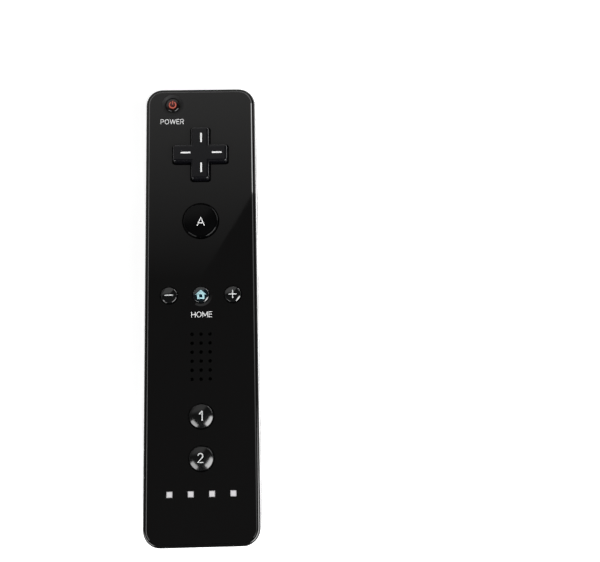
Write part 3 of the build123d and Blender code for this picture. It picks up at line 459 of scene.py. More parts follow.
@dataclass(frozen=True)
class Metal(Finish):
    """Rolled, drawn or turned metal."""

    scale: float = 500.0
    stretch: float = 14.0
    tone_shares: Point = (0.8, 1.15)
    gloss_shares: Point = (0.7, 1.4)

    def wire(self, coat: Surface) -> None:
        """Adds the lines of the rolling and a slight change of tone along them.

        Args:
            coat: the metal's surface.
        """
        coat.set("Metallic", 1.0)
        streaks = coat.place(Effect.STREAKS, Scale=self.scale, Stretch=self.stretch).outputs
        tones = [shaded(self.colour, share) for share in self.tone_shares]
        coat.set("Base Color", coat.tint(streaks["Tone"], *tones))
        dull = tuple(self.roughness * share for share in self.gloss_shares)
        coat.set("Roughness", coat.vary(streaks["Tone"], (0.0, 1.0), dull))
        coat.bump(streaks["Height"], strength=0.15, depth=0.00002)


@dataclass(frozen=True)
class Glass(Finish):
    """Clear tinted glass or filter."""

    def wire(self, coat: Surface) -> None:
        """Makes the shader transmit, with faint marks in its gloss."""
        coat.set("Transmission Weight", 1.0)
        coat.soil(self.roughness, smudge=0.02)


@dataclass(frozen=True)
class SolderMask(Finish):
    """A printed board: green lacquer over copper tracks."""

    track: Colour = (0.035, 0.2, 0.075)
    scale: float = 320.0
    unevenness: float = 0.55
    edge: Point = (0.09, 0.05)

    def wire(self, coat: Surface) -> None:
        """Draws tracks as the cell walls of a squared pattern, slightly raised.

        Args:
            coat: the board's surface.
        """
        cells = coat.add(
            "TexVoronoi", feature="DISTANCE_TO_EDGE", Vector=coat.spot(), Scale=self.scale,
            Randomness=self.unevenness,
        )
        line = coat.vary(cells.outputs["Distance"], self.edge)
        coat.set("Base Color", coat.tint(line, self.colour, self.track))
        coat.bump(line, strength=0.4, depth=0.00003)


@dataclass(frozen=True)
class CellJacket(Finish):
    """The printed jacket of a cell: a dark band, two pale bands and bare ends."""

    band: Colour = (0.62, 0.60, 0.56)
    steel: Colour = (0.7, 0.7, 0.68)
    middle_y: float = -0.0241
    bare_from: float = 0.0235
    pale_from: float = 0.0117

    def wire(self, coat: Surface) -> None:
        """Colours the jacket by place along the cell, as shrunk film over steel.

        Args:
            coat: the cell's surface.
        """
        _, along, _ = coat.axes(coat.spot())
        away = coat.work("ABSOLUTE", coat.work("SUBTRACT", along, self.middle_y))
        bare = coat.work("GREATER_THAN", away, self.bare_from)
        pale = coat.work("GREATER_THAN", away, self.pale_from)
        film = coat.tint(pale, self.colour, self.band)
        coat.set("Base Color", coat.tint(bare, film, self.steel))
        coat.set("Metallic", bare)
        streaks = coat.place(Effect.STREAKS, Scale=300.0, Stretch=4.0)
        coat.bump(streaks.outputs["Height"], strength=0.1, depth=0.00003)


@dataclass(frozen=True)
class GlowPaintedKey(Finish):
    """A dark glossy key cap with a dim coloured glow painted into the middle of its colour."""

    # colour of the painted glow in the key's middle
    light: Colour = (0.1, 0.0, 0.0)
    centre: Point = (0.0, 0.0)
    reach: float = 0.002
    index: float = 1.5

    def wire(self, coat: Surface) -> None:
        """Paints a dim coloured glow into the middle of the key and keeps its gloss slightly uneven.

        Args:
            coat: the key's surface.
        """
        coat.set("IOR", self.index)
        painted_glow = coat.patch(self.centre, self.reach)
        # painted glow: the base colour turns towards the glow colour in the key's middle, with no lamp under
        # it
        coat.set("Base Color", coat.tint(painted_glow, self.colour, self.light))
        coat.soil(self.roughness, smudge=0.03)


@dataclass(frozen=True)
class DishedKey(Finish):
    """A key cap that is dull in the middle and polished at its rim."""

    dull: float = 0.24
    centre: Point = (0.0, 0.0)
    reach: float = 0.005
    index: float = 1.24
    rim: Point = (0.0, 0.1)

    def wire(self, coat: Surface) -> None:
        """Lets the gloss grow from the middle outwards."""
        coat.set("IOR", self.index)
        inner = coat.patch(self.centre, self.reach)
        coat.set("Roughness", coat.vary(inner, self.rim, (self.roughness, self.dull)))


@dataclass(frozen=True)
class WindowGuide(Finish):
    """A milky light guide with painted shade that darkens it towards the edges of each square window."""

    first: Point = (-0.00984, -0.05796)
    pitch: float = 0.00656
    clear: float = 0.0006
    edge: float = 0.00105
    darkest_painted_shade: float = 0.8

    def wire(self, coat: Surface) -> None:
        """Measures the distance from the nearest window's middle and darkens the colour by it, as painted
        shade.

        Args:
            coat: the light guide's surface.
        """
        across, along, _ = coat.axes(coat.spot())
        sideways = coat.work("PINGPONG", coat.work("SUBTRACT", across, self.first[0]), self.pitch / 2)
        endways = coat.work("ABSOLUTE", coat.work("SUBTRACT", along, self.first[1]))
        away = coat.work("MAXIMUM", sideways, endways)
        # painted shade: the colour turns towards black near each window's edge, standing in for the shade at
        # the window's sides
        dim = coat.vary(away, (self.clear, self.edge), (0.0, self.darkest_painted_shade), EASED)
        coat.set("Base Color", coat.tint(dim, self.colour, BLACK))
        coat.soil(self.roughness, smudge=0.1)


@dataclass(frozen=True)
class Print(Finish):
    """Ink printed on the plastic, faintly uneven in tone."""

    thin_share: float = 0.9

    def wire(self, coat: Surface) -> None:
        """Lets the ink vary a little in tone and gloss."""
        marks = coat.soil(self.roughness, smudge=0.1)
        thin = shaded(self.colour, self.thin_share)
        coat.set("Base Color", coat.tint(marks["Roughness"], self.colour, thin))


DEEP_BLACK = (0.0022, 0.0023, 0.0024)
POLISH = {"grain": 900.0, "relief": 0.000002}
FACE_BLACK = FacePanel(
    "polished_black", (0.0030, 0.0029, 0.0029), 0.02, smudge=0.025, grain=900.0, relief=0.000001
)
KEY_BLACK = Moulding("polished_key", DEEP_BLACK, 0.07, index=1.72, **POLISH)
DIGIT_BLACK = Moulding("satin_key", DEEP_BLACK, 0.17, index=1.56, **POLISH)
PAD_BLACK = Moulding(
    "satin_pad", (0.0030, 0.0030, 0.0040), 0.18, grain=4200.0, relief=0.000003, index=1.42
)
CASE_BLACK = Moulding(
    "grained_black", (0.008, 0.008, 0.0085), 0.30,
    smudge=0.06, grain=3600.0, relief=0.00003, strength=0.5, index=1.38,
)
TRIGGER_BLACK = Moulding("smooth_grip_black", (0.009, 0.009, 0.0095), 0.22, smudge=0.06, grain=4200.0)
FILTER_BLACK = Moulding(
    "dark_filter", (0.010, 0.003, 0.004), 0.04, grain=900.0, relief=0.000001, index=1.58
)
SILICONE = Moulding(
    "silicone", (0.23, 0.23, 0.235), 0.55, smudge=0.1, specks=0.06, grain=2600.0, relief=0.00002
)
BOOT_RUBBER = Moulding(
    "soft_rubber", (0.025, 0.025, 0.026), 0.6, smudge=0.1, specks=0.08, grain=2600.0, relief=0.00003
)
FRAME_BLACK = Moulding(
    "moulded_frame", (0.02, 0.02, 0.021), 0.5, smudge=0.05, grain=3600.0, relief=0.00002
)
SOCKET_GREY = Moulding(
    "filled_nylon", (0.045, 0.045, 0.05), 0.5, smudge=0.05, grain=4200.0, relief=0.00002
)
CHIP_BLACK = Moulding(
    "moulded_package", (0.018, 0.018, 0.019), 0.55, smudge=0.04, grain=5200.0, relief=0.00002
)
SYNC_RED = Moulding("red_cap", (0.42, 0.012, 0.014), 0.35, smudge=0.05, grain=4200.0)
WIRE_RED = Moulding("wire_insulation", (0.35, 0.015, 0.015), 0.4, smudge=0.05)
FOAM = Moulding(
    "foam", (0.04, 0.04, 0.042), 0.9, smudge=0.05, grain=1600.0, relief=0.0001, strength=0.7
)
CONE_PAPER = Moulding(
    "pressed_paper", (0.03, 0.03, 0.032), 0.85, smudge=0.05, grain=1300.0, relief=0.00006, strength=0.6
)
GUIDE_PALE = WindowGuide("milky_guide", (0.48, 0.47, 0.48), 0.35)
LAMP_PALE = Moulding("lamp_package", (0.70, 0.72, 0.75), 0.4, smudge=0.05)
SCREW_STEEL = Metal("plated_screw", (0.42, 0.42, 0.43), 0.3)
CAN_STEEL = Metal("drawn_steel", (0.56, 0.56, 0.57), 0.28, scale=350.0)
WEIGHT_METAL = Metal("sintered_weight", (0.40, 0.37, 0.33), 0.45, scale=1200.0, stretch=1.5)
SPRING_STEEL = Metal("spring_strip", (0.62, 0.62, 0.60), 0.25)
CONTACT_GOLD = Metal("gold_strip", (0.80, 0.58, 0.24), 0.22)
LENS = Glass("coated_lens", (0.35, 0.22, 0.42), 0.02)
BOARD = SolderMask("green_board", (0.016, 0.11, 0.042), 0.35)
CELL = CellJacket("cell_jacket", (0.05, 0.055, 0.06), 0.3)
INK_WHITE = Print("white_ink", (0.80, 0.80, 0.80), 0.5)
INK_SOFT = Print("soft_white_ink", (0.55, 0.56, 0.56), 0.5)
INK_RED = Print("red_ink", (0.42, 0.085, 0.055), 0.5)
INK_CYAN = Print("pale_cyan_ink", (0.33, 0.54, 0.58), 0.5)


@dataclass(frozen=True)
class Ground:
    """What a mark lies on, in millimetres: a flat, or a key's ball-shaped crown."""

    x: float
    y: float
    top: float
    radius: float = 0.0
    crown: float = 0.0

    @property
    def centre(self) -> Point:
        """The middle in metres."""
        return self.x * MILLI, self.y * MILLI

    def height(self, x: float, y: float) -> float:
        """Height of the surface at a place.

        Args:
            x: place across, in millimetres.
            y: place along, in millimetres.

        Returns:
            The height in millimetres.
        """
        if not self.crown:
            return self.top
        ball = (self.radius**2 + self.crown**2) / (2 * self.crown)
        away = (x - self.x) ** 2 + (y - self.y) ** 2
        return self.top - ball + math.sqrt(max(ball**2 - away, 0.0))


def arc(middle: Point, reach: Point, start: float, end: float, steps: int = 14) -> list[Point]:
    """Points along part of an ellipse.

    Args:
        middle: the ellipse's middle.
        reach: its half sizes across and along.
        start: where it starts, in degrees from the right.
        end: where it ends.
        steps: how many runs it is divided into.

    Returns:
        The points in order.
    """
    turns = [math.radians(start + (end - start) * step / steps) for step in range(steps + 1)]
    return [(middle[0] + reach[0] * math.cos(turn), middle[1] + reach[1] * math.sin(turn)) for turn in turns]


def runs(*points: Point) -> list[list[Point]]:
    """Splits a line with sharp bends into its straight runs."""
    return [list(pair) for pair in zip(points, points[1:])]


BOWL = [(0.0, 0.0), (0.0, 1.0), *arc((0.55, 0.73), (0.45, 0.27), 90, -90, 10), (0.0, 0.46)]
GLYPHS: dict[str, tuple[float, list[list[Point]]]] = {
    "A": (0.80, [*runs((0.0, 0.0), (0.5, 1.0), (1.0, 0.0)), [(0.2, 0.30), (0.8, 0.30)]]),
    "E": (0.50, [[(1.0, 1.0), (0.0, 1.0), (0.0, 0.0), (1.0, 0.0)], [(0.0, 0.52), (0.88, 0.52)]]),
    "H": (0.62, [[(0.0, 0.0), (0.0, 1.0)], [(1.0, 0.0), (1.0, 1.0)], [(0.0, 0.5), (1.0, 0.5)]]),
    "M": (0.78, runs((0.0, 0.0), (0.0, 1.0), (0.5, 0.2), (1.0, 1.0), (1.0, 0.0))),
    "O": (0.74, [arc((0.5, 0.5), (0.5, 0.5), 0, 360, 24)]),
    "P": (0.55, [BOWL]),
    "R": (0.58, [BOWL, [(0.5, 0.46), (1.0, 0.0)]]),
    "W": (1.05, runs((0.0, 1.0), (0.25, 0.0), (0.5, 0.95), (0.75, 0.0), (1.0, 1.0))),
    "1": (0.36, [[(0.0, 0.70), (0.72, 1.0)], [(0.85, 0.0), (0.85, 1.0)]]),
    "2": (0.58, [[*arc((0.5, 0.70), (0.46, 0.30), 165, -20, 12), (0.0, 0.0), (1.0, 0.0)]]),
}


class Mark:
    """A thin print of strokes and filled shapes, pressed onto what it lies on."""

    thickness = 0.02
    sunk_share = 0.5
    longest = 0.3
    rounds = 5
    layer = 0.003
    layers = 5
    letter_gap = 0.24
    carry_share = 1 / 3
    sharpest = 0.3
    widest_mitre = 1.25

    def __init__(self, name: str, body: Body, finish: Finish, ground: Ground) -> None:
        """Starts an empty mark.

        Args:
            name: the printed piece's name.
            body: the body that it rides on.
            finish: its ink.
            ground: what it lies on.
        """
        self.name = name
        self.body = body
        self.finish = finish
        self.ground = ground
        self.lines = 0
        self.ink = bmesh.new()

    def fill(self, outline: list[Point]) -> Mark:
        """Fills one simple outline.

        Args:
            outline: its corners in order, in millimetres.

        Returns:
            The mark itself.
        """
        lift = self.layer * (self.lines % self.layers)
        self.ink.faces.new([self.ink.verts.new((x, y, lift)) for x, y in outline])
        self.lines += 1
        return self

    def stroke(self, points: list[Point], width: float) -> Mark:
        """Draws a line of even width with mitred bends.

        A line that ends where it starts is closed. Any other is carried on by
        a third of its width at both ends. Each line lies a little above the
        one before it, so that no two faces share a place.

        Args:
            points: the line's points in millimetres.
            width: how wide it is.

        Returns:
            The mark itself.
        """
        line = [Vector(point) for point in points]
        closed = (line[0] - line[-1]).length < self.layer
        ways = [(end - start).normalized() for start, end in zip(line, line[1:])]
        if not closed:
            line[0] = line[0] - ways[0] * width * self.carry_share
            line[-1] = line[-1] + ways[-1] * width * self.carry_share
        before = [ways[-1] if closed else ways[0], *ways]
        after = [*ways, ways[0] if closed else ways[-1]]
        lift = self.layer * (self.lines % self.layers)
        pairs = []
        for spot, came, goes in zip(line, before, after):
            across = Vector((-came.y - goes.y, came.x + goes.x)).normalized()
            square = max(across.dot(Vector((-goes.y, goes.x))), self.sharpest)
            reach = min(1.0 / square, self.widest_mitre) * width / 2
            sides = (spot - across * reach, spot + across * reach)
            pairs.append([self.ink.verts.new((side.x, side.y, lift)) for side in sides])
        for (low, high), (next_low, next_high) in zip(pairs, pairs[1:]):
            self.ink.faces.new((low, next_low, next_high, high))
        self.lines += 1
        return self

    def word(self, text: str, box: Box, width: float) -> Mark:
        """Sets a word so that it fills a box.

        Args:
            text: the word, in the letters of the glyph table.
            box: the box's lower left and upper right corners in millimetres.
            width: width of the letters' strokes.

        Returns:
            The mark itself.
        """
        glyphs = [GLYPHS[letter] for letter in text]
        run = sum(share for share, _ in glyphs) + self.letter_gap * (len(glyphs) - 1)
        low, high = box
        wide, tall = high[0] - low[0] - width, high[1] - low[1] - width
        start = 0.0
        for share, strokes in glyphs:
            for points in strokes:
                placed = [
                    (
                        low[0] + width / 2 + (start + share * across) * wide / run,
                        low[1] + width / 2 + up * tall,
                    )
                    for across, up in points
                ]
                self.stroke(placed, width)
            start += share + self.letter_gap
        return self

    def press(self) -> bpy.types.Object:
        """Lays the print on its ground, gives it its thickness and lets it ride.

        Returns:
            The printed piece.
        """
        ink = self.ink
        bmesh.ops.triangulate(ink, faces=ink.faces[:])
        for _ in range(self.rounds):
            long_edges = [edge for edge in ink.edges if edge.calc_length() > self.longest]
            if not long_edges:
                break
            bmesh.ops.subdivide_edges(ink, edges=long_edges, cuts=1)
            bmesh.ops.triangulate(ink, faces=ink.faces[:])
        bmesh.ops.recalc_face_normals(ink, faces=ink.faces[:])
        for face in ink.faces:
            if face.normal.z < 0:
                face.normal_flip()
        for vertex in ink.verts:
            vertex.co.z += self.ground.height(vertex.co.x, vertex.co.y) + self.thickness
        below = bmesh.ops.extrude_face_region(ink, geom=ink.faces[:])["geom"]
        for item in below:
            if isinstance(item, bmesh.types.BMVert):
                item.co.z -= self.thickness * (1 + self.sunk_share)
        bmesh.ops.scale(ink, vec=(MILLI, MILLI, MILLI), verts=ink.verts[:])
        bmesh.ops.recalc_face_normals(ink, faces=ink.faces[:])
        mesh = bpy.data.meshes.new(self.name)
        ink.to_mesh(mesh)
        ink.free()
        mesh.materials.append(self.finish.build())
        piece = bpy.data.objects.new(self.name, mesh)
        bpy.context.scene.collection.objects.link(piece)
        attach(piece, self.body.value)
        log.info("printed %s on %s", self.name, self.body.value)
        return piece


@dataclass
class Assembly:
    """A sub-assembly of the wand, dressed and marked together."""

    nodes: dict[str, bpy.types.Object]

    def dress(self, finish: Finish, *names: str) -> None:
        """Puts a finish on CAD nodes, in the slots they have.

        Args:
            finish: the finish.
            names: the nodes to dress.
        """
        material = finish.build()
        for name in names:
            piece = self.nodes[name]
            if not piece.material_slots:
                piece.data.materials.append(material)
            for slot in piece.material_slots:
                slot.material = material
            log.info("dressed %s in %s", name, finish.name)

    def build(self) -> None:
        """Dresses and marks the sub-assembly."""
        raise NotImplementedError


@dataclass
class CaseShells(Assembly):
    """The two halves of the case, its window, screws and printed words."""

    face: Ground = Ground(0.0, 0.0, 28.6)
    power_word: Box = ((-13.2, 61.6), (-5.5, 63.35))
    home_word: Box = ((-3.1, -3.1), (3.6, -1.25))
    pen: float = 0.18

    def build(self) -> None:
        """Dresses the shells and prints the two words."""
        self.dress(FACE_BLACK, "upper_shell")
        self.dress(CASE_BLACK, "lower_shell")
        self.dress(FILTER_BLACK, "infrared_window")
        self.dress(SCREW_STEEL, "case_screws")
        Mark("word_power", Body.CASE, INK_WHITE, self.face).word("POWER", self.power_word, self.pen).press()
        Mark("word_home", Body.CASE, INK_WHITE, self.face).word("HOME", self.home_word, self.pen).press()


@dataclass
class RoundKeys(Assembly):
    """The seven round keys and their marks."""

    power: Ground = Ground(-9.24, 68.35, 28.8, 2.35, 0.35)
    a_key: Ground = Ground(0.0, 28.45, 29.9, 5.65, 0.6)
    minus: Ground = Ground(-10.2, 4.14, 29.35, 2.6, 0.6)
    home: Ground = Ground(0.0, 4.14, 29.35, 2.6, 0.6)
    plus: Ground = Ground(10.2, 4.14, 29.35, 2.6, 0.6)
    one: Ground = Ground(0.0, -34.31, 29.8, 3.75, 0.95)
    two: Ground = Ground(0.0, -47.26, 29.8, 3.75, 0.95)
    a_box: Box = ((-1.12, -1.85), (1.4, 1.05))
    one_box: Box = ((-0.6, -1.4), (0.72, 1.75))
    two_box: Box = ((-1.2, -1.3), (0.8, 1.8))
    a_pen: float = 0.28
    pen: float = 0.34
    power_pen: float = 0.38
    power_drop: float = 0.05
    power_ring: float = 1.08
    power_open: Point = (125.0, 415.0)
    power_bar: Point = (0.2, 1.25)
    sign_reach: float = 1.2
    house_drop: float = 0.1
    house: tuple[tuple[Point, ...], ...] = (
        ((-1.75, 0.15), (1.75, 0.15), (0.0, 1.7)),
        ((-1.15, -1.3), (-0.5, -1.3), (-0.5, 0.15), (-1.15, 0.15)),
        ((0.5, -1.3), (1.15, -1.3), (1.15, 0.15), (0.5, 0.15)),
        ((-0.5, -1.3), (0.5, -1.3), (0.5, -0.85), (-0.5, -0.85)),
    )

    def build(self) -> None:
        """Dresses the keys and prints their marks."""
        self.dress(KEY_BLACK, "minus_button", "plus_button")
        self.dress(DIGIT_BLACK, "one_button", "two_button")
        deep_key = DishedKey(
            "deep_key", (0.0010, 0.0010, 0.0011), 0.06, centre=self.a_key.centre, reach=0.0055
        )
        self.dress(deep_key, "a_button")
        # the standby and home caps each get a painted glow in their middles
        red_key = GlowPaintedKey(
            "power_cap", (0.0025, 0.002, 0.002), 0.08, light=(0.035, 0.001, 0.001),
            centre=self.power.centre, reach=0.0019, index=1.6,
        )
        blue_key = GlowPaintedKey(
            "home_cap", (0.002, 0.003, 0.004), 0.07, light=(0.001, 0.012, 0.02),
            centre=self.home.centre, reach=0.0024, index=1.78,
        )
        self.dress(red_key, "power_button")
        self.dress(blue_key, "home_button")
        self.print_power()
        self.print_letter(Mark("letter_a", Body.ROUND, INK_WHITE, self.a_key), "A", self.a_box, self.a_pen)
        self.print_letter(Mark("digit_one", Body.ONE, INK_SOFT, self.one), "1", self.one_box, self.pen)
        self.print_letter(Mark("digit_two", Body.TWO, INK_SOFT, self.two), "2", self.two_box, self.pen)
        self.print_signs()
        self.print_house()

    def print_power(self) -> None:
        """Prints the standby sign: an open ring with a bar in its gap."""
        x, y, ring = self.power.x, self.power.y - self.power_drop, self.power_ring
        low, high = self.power_bar
        sign = Mark("sign_power", Body.POWER, INK_RED, self.power)
        sign.stroke(arc((x, y), (ring, ring), *self.power_open, 26), self.power_pen)
        sign.stroke([(x, y + low), (x, y + high)], self.power_pen).press()

    @staticmethod
    def print_letter(mark: Mark, text: str, box: Box, pen: float) -> None:
        """Prints a letter or a digit on its key.

        Args:
            mark: the empty mark.
            text: the letter or digit.
            box: the box that it fills, from the key's middle.
            pen: width of its strokes.
        """
        key = mark.ground
        low, high = [(key.x + across, key.y + up) for across, up in box]
        mark.word(text, (low, high), pen).press()

    def print_signs(self) -> None:
        """Prints the minus and the plus."""
        x, y, reach = self.minus.x, self.minus.y, self.sign_reach
        dash = Mark("sign_minus", Body.MINUS, INK_SOFT, self.minus)
        dash.stroke([(x - reach, y), (x + reach, y)], self.pen).press()
        x, y = self.plus.x, self.plus.y
        cross = Mark("sign_plus", Body.PLUS, INK_SOFT, self.plus)
        cross.stroke([(x - reach, y), (x + reach, y)], self.pen)
        cross.stroke([(x, y - reach), (x, y + reach)], self.pen).press()

    def print_house(self) -> None:
        """Prints a plain house with an open window in its wall."""
        x, y = self.home.x, self.home.y - self.house_drop
        mark = Mark("sign_house", Body.HOME, INK_CYAN, self.home)
        for shape in self.house:
            mark.fill([(x + right, y + up) for right, up in shape])
        mark.press()


@dataclass
class DirectionPad(Assembly):
    """The cross pad, the ball it rocks on and its four ticks."""

    top: Ground = Ground(0.0, 50.9, 30.8)
    centre: Point = (0.4, 51.0)
    reaches: Point = (3.7, 6.5)
    pen: float = 0.52

    def build(self) -> None:
        """Dresses the pad and prints the ticks."""
        self.dress(PAD_BLACK, "dpad")
        self.dress(SOCKET_GREY, "dpad_pivot")
        ways = {"up": (0, 1), "down": (0, -1), "left": (-1, 0), "right": (1, 0)}
        for way, (x, y) in ways.items():
            ends = [(self.centre[0] + x * reach, self.centre[1] + y * reach) for reach in self.reaches]
            Mark("tick_" + way, Body.PAD, INK_WHITE, self.top).stroke(ends, self.pen).press()


@dataclass
class TriggerGroup(Assembly):
    """The trigger, its retainer and its rubber dome."""

    def build(self) -> None:
        """Dresses the trigger's pieces."""
        self.dress(TRIGGER_BLACK, "trigger")
        self.dress(SOCKET_GREY, "trigger_retainer")
        self.dress(SCREW_STEEL, "retainer_screws")
        self.dress(SILICONE, "trigger_membrane")


@dataclass
class BatteryBay(Assembly):
    """The cover, the two cells and their contacts, and the pairing button."""

    def build(self) -> None:
        """Dresses what the bay holds."""
        self.dress(CASE_BLACK, "battery_cover")
        self.dress(CELL, "battery_cells")
        self.dress(SPRING_STEEL, "positive_terminal", "negative_terminal", "bridge_contact")
        self.dress(SYNC_RED, "sync_button")


@dataclass
class Electronics(Assembly):
    """The board and what is soldered to it or pressed on it."""

    membranes: tuple[str, ...] = ("power_membrane", "face_membrane", "menu_membrane", "digit_membrane")
    packages: tuple[str, ...] = (
        "radio_chip", "motion_sensor", "memory_chip", "regulator_coil", "infrared_camera", "sync_switch",
        "capacitors",
    )

    def build(self) -> None:
        """Dresses the board's pieces."""
        self.dress(BOARD, "main_board")
        self.dress(SCREW_STEEL, "board_screws")
        self.dress(SILICONE, *self.membranes)
        self.dress(CHIP_BLACK, *self.packages)
        self.dress(CAN_STEEL, "radio_shield", "clock_crystal")
        self.dress(LENS, "camera_lens")
        self.dress(LAMP_PALE, "indicator_lamps")
        self.dress(GUIDE_PALE, "light_guide")
        self.dress(SOCKET_GREY, "expansion_socket")
        self.dress(CONTACT_GOLD, "socket_contacts")


@dataclass
class SoundAndRumble(Assembly):
    """The speaker and the rumble motor."""

    def build(self) -> None:
        """Dresses the speaker's and the motor's pieces."""
        self.dress(FRAME_BLACK, "speaker_frame")
        self.dress(CONE_PAPER, "speaker_cone")
        self.dress(CAN_STEEL, "speaker_magnet", "rumble_motor")
        self.dress(FOAM, "speaker_gasket")
        self.dress(SPRING_STEEL, "speaker_tabs")
        self.dress(WEIGHT_METAL, "rumble_rotor")
        self.dress(BOOT_RUBBER, "motor_boot")
        self.dress(WIRE_RED, "motor_leads")


@dataclass(frozen=True)
class SoftBox:
    """A rectangular lamp that faces the wand."""

    name: str
    bearing: float
    rise: float
    distance: float
    size: Point
    radiance: float

    def build(self, target: Vector) -> None:
        """Hangs the lamp.

        Args:
            target: the point that it faces.
        """
        lamp = bpy.data.lights.new(self.name, "AREA")
        lamp.shape = "RECTANGLE"
        lamp.size, lamp.size_y = self.size
        lamp.energy = self.radiance * math.pi * self.size[0] * self.size[1]
        turn, lift = math.radians(self.bearing), math.radians(self.rise)
        away = Vector((math.cos(turn) * math.cos(lift), math.sin(turn) * math.cos(lift), math.sin(lift)))
        holder = bpy.data.objects.new(self.name, lamp)
        holder.location = target + away * self.distance
        holder.rotation_euler = away.to_track_quat("Z", "Y").to_euler()
        holder.visible_camera = False
        bpy.context.scene.collection.objects.link(holder)
        log.info("lamp %s", self.name)


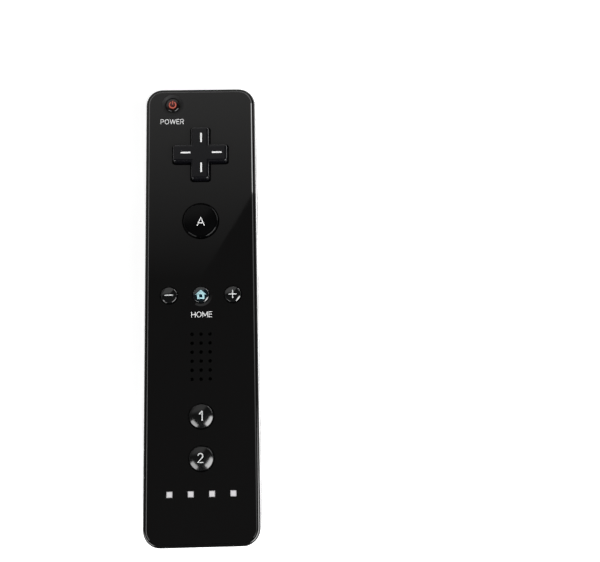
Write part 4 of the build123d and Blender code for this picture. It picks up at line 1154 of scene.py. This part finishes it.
@dataclass
class Studio:
    """The pale floor, the lamps, the dim card overhead, the world and the camera."""

    eye: tuple[float, float, float] = (0.02509, -0.03576, 0.29034)
    turn: tuple[float, float, float] = (0.16635, -0.02217, -0.02245)
    lens: float = 49.40
    aim: tuple[float, float, float] = (0.0, 0.0, 0.02)
    floor_half: float = 3.0
    floor_drop: float = 0.00004
    floor_colour: Colour = (0.86, 0.86, 0.86)
    floor_lift: float = 0.62
    floor_fade: Point = (0.25, 1.1)
    card_height: float = 0.9
    card_edge: Point = (-0.0505, 0.2144)
    card_run: Point = (0.524, 0.852)
    card_size: Point = (1.2, 1.0)
    card_span: Point = (0.16, 0.45)
    card_glow: Point = (0.06, 0.62)
    card_colour: Colour = (1.0, 1.0, 0.99)
    flag_y: float = -0.16
    flag_reach: Point = (-0.16, 0.10)
    flag_height: float = 0.06
    flag_colour: Colour = (0.01, 0.01, 0.01)
    overhead: tuple[Point, Point] = ((0.05, 0.22), (1.0, 0.0))
    underfoot: tuple[Point, Point] = ((-0.62, -0.40), (0.0, 1.0))
    walls: tuple[Point, Point] = ((-1.0, 1.0), (0.0, 2.2))
    bright_way: tuple[float, float, float] = (0.0, 1.0, 0.0)
    gloom: float = 0.055
    lamps: tuple[SoftBox, ...] = (
        SoftBox("lamp_right", -38.0, 43.0, 0.62, (0.50, 0.32), 11.0),
        SoftBox("lamp_left", 224.0, 37.0, 0.62, (0.34, 0.22), 8.0),
        SoftBox("lamp_corner", 39.0, 4.5, 0.8, (0.62, 0.12), 7.5),
    )

    def build(self) -> None:
        """Sets the whole studio up."""
        self.build_camera()
        self.build_floor()
        self.build_card()
        self.build_flag()
        self.build_world()
        for lamp in self.lamps:
            lamp.build(Vector(self.aim))
        bpy.context.scene.view_settings.view_transform = "Standard"

    def build_camera(self) -> None:
        """Places the camera where the photograph was taken from."""
        camera = bpy.data.cameras.new("viewpoint")
        camera.lens = self.lens
        camera.sensor_width = 36.0
        camera.clip_start = 0.01
        camera.clip_end = 20.0
        holder = bpy.data.objects.new("viewpoint", camera)
        holder.location = self.eye
        holder.rotation_euler = self.turn
        bpy.context.scene.collection.objects.link(holder)
        bpy.context.scene.camera = holder

    def build_floor(self) -> None:
        """Lays a pale floor that shows white and keeps the wand's shadow."""
        paint = bare_material("floor_paint")
        wires = Wiring(paint.node_tree)
        rays = wires.add("LightPath").outputs
        direct = wires.work("MAXIMUM", rays["Is Camera Ray"], rays["Is Glossy Ray"])
        seen = wires.work("MAXIMUM", direct, rays["Is Transmission Ray"])
        away = wires.add("VectorMath", operation="LENGTH", Vector=wires.spot()).outputs["Value"]
        lift = wires.vary(away, self.floor_fade, (self.floor_lift, 1.0), EASED)
        matt = wires.add("BsdfDiffuse", Color=self.floor_colour)
        shine = wires.add("Emission", Color=WHITE, Strength=wires.work("MULTIPLY", seen, lift))
        both = wires.add("AddShader")
        for entry, shader in zip(both.inputs, (matt, shine)):
            wires.feed(entry, shader.outputs[0])
        wires.add("OutputMaterial", Surface=both.outputs[0])
        half, height = self.floor_half, -self.floor_drop
        corners = [(-half, -half, height), (half, -half, height), (half, half, height), (-half, half, height)]
        self._flat("floor", corners, paint)

    def build_card(self) -> None:
        """Hangs a dim slanted card whose edge is mirrored across the polished face."""
        paper = bare_material("card_paper")
        wires = Wiring(paper.node_tree)
        _, along, _ = wires.axes(wires.spot())
        glow = wires.vary(along, self.card_span, self.card_glow)
        shine = wires.add("Emission", Color=self.card_colour, Strength=glow)
        wires.add("OutputMaterial", Surface=shine.outputs[0])
        run = Vector(self.card_run).normalized()
        out = Vector((-run.y, run.x))
        start = Vector(self.card_edge)
        reach, depth = self.card_size
        left, right = start - run * reach, start + run * reach
        spots = (left, right, right + out * depth, left + out * depth)
        card = self._flat("overhead_card", [(spot.x, spot.y, self.card_height) for spot in spots], paper)
        card.visible_camera = False
        card.visible_shadow = False

    def build_flag(self) -> None:
        """Stands a black flag beyond the near end, which keeps that edge dark."""
        cloth = bare_material("flag_cloth")
        wires = Wiring(cloth.node_tree)
        matt = wires.add("BsdfDiffuse", Color=self.flag_colour)
        wires.add("OutputMaterial", Surface=matt.outputs[0])
        left, right = self.flag_reach
        y, top = self.flag_y, self.flag_height
        corners = [(left, y, 0.0), (right, y, 0.0), (right, y, top), (left, y, top)]
        flag = self._flat("black_flag", corners, cloth)
        flag.visible_camera = False
        flag.visible_shadow = False
        flag.visible_diffuse = False

    def build_world(self) -> None:
        """Surrounds the scene with walls: a pale band at eye level, brighter at the far end."""
        world = bpy.data.worlds.new("studio_walls")
        world.use_nodes = True
        world.node_tree.nodes.clear()
        wires = Wiring(world.node_tree)
        way = wires.add("TexCoord").outputs["Generated"]
        _, _, up = wires.axes(way)
        along = wires.add("VectorMath", operation="DOT_PRODUCT")
        wires.feed(along.inputs[0], way)
        wires.feed(along.inputs[1], self.bright_way)
        over = wires.vary(up, *self.overhead, EASED)
        under = wires.vary(up, *self.underfoot, EASED)
        wall = wires.vary(along.outputs["Value"], *self.walls, EASED)
        level = wires.work("MULTIPLY_ADD", wires.work("MULTIPLY", over, under), wall, self.gloom)
        shine = wires.add("Background", Color=WHITE, Strength=level)
        wires.add("OutputWorld", Surface=shine.outputs[0])
        bpy.context.scene.world = world

    @staticmethod
    def _flat(
        name: str, corners: list[tuple[float, float, float]], material: bpy.types.Material
    ) -> bpy.types.Object:
        """A flat four-sided stage piece.

        Args:
            name: the piece's name.
            corners: its corners in order.
            material: what it is made of.

        Returns:
            The piece, which isn't part of the wand.
        """
        mesh = bpy.data.meshes.new(name)
        mesh.from_pydata(corners, [], [(0, 1, 2, 3)])
        mesh.materials.append(material)
        piece = bpy.data.objects.new(name, mesh)
        bpy.context.scene.collection.objects.link(piece)
        return piece


def main() -> None:
    """Loads the frame, builds each sub-assembly and sets up the studio."""
    logging.basicConfig(level=logging.INFO, format="%(name)s: %(message)s")
    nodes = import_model()["nodes"]
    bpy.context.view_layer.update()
    groups = (CaseShells, RoundKeys, DirectionPad, TriggerGroup, BatteryBay, Electronics, SoundAndRumble)
    for group in groups:
        group(nodes).build()
        log.info("built %s", group.__name__)
    Studio().build()


if __name__ == "__main__":
    main()
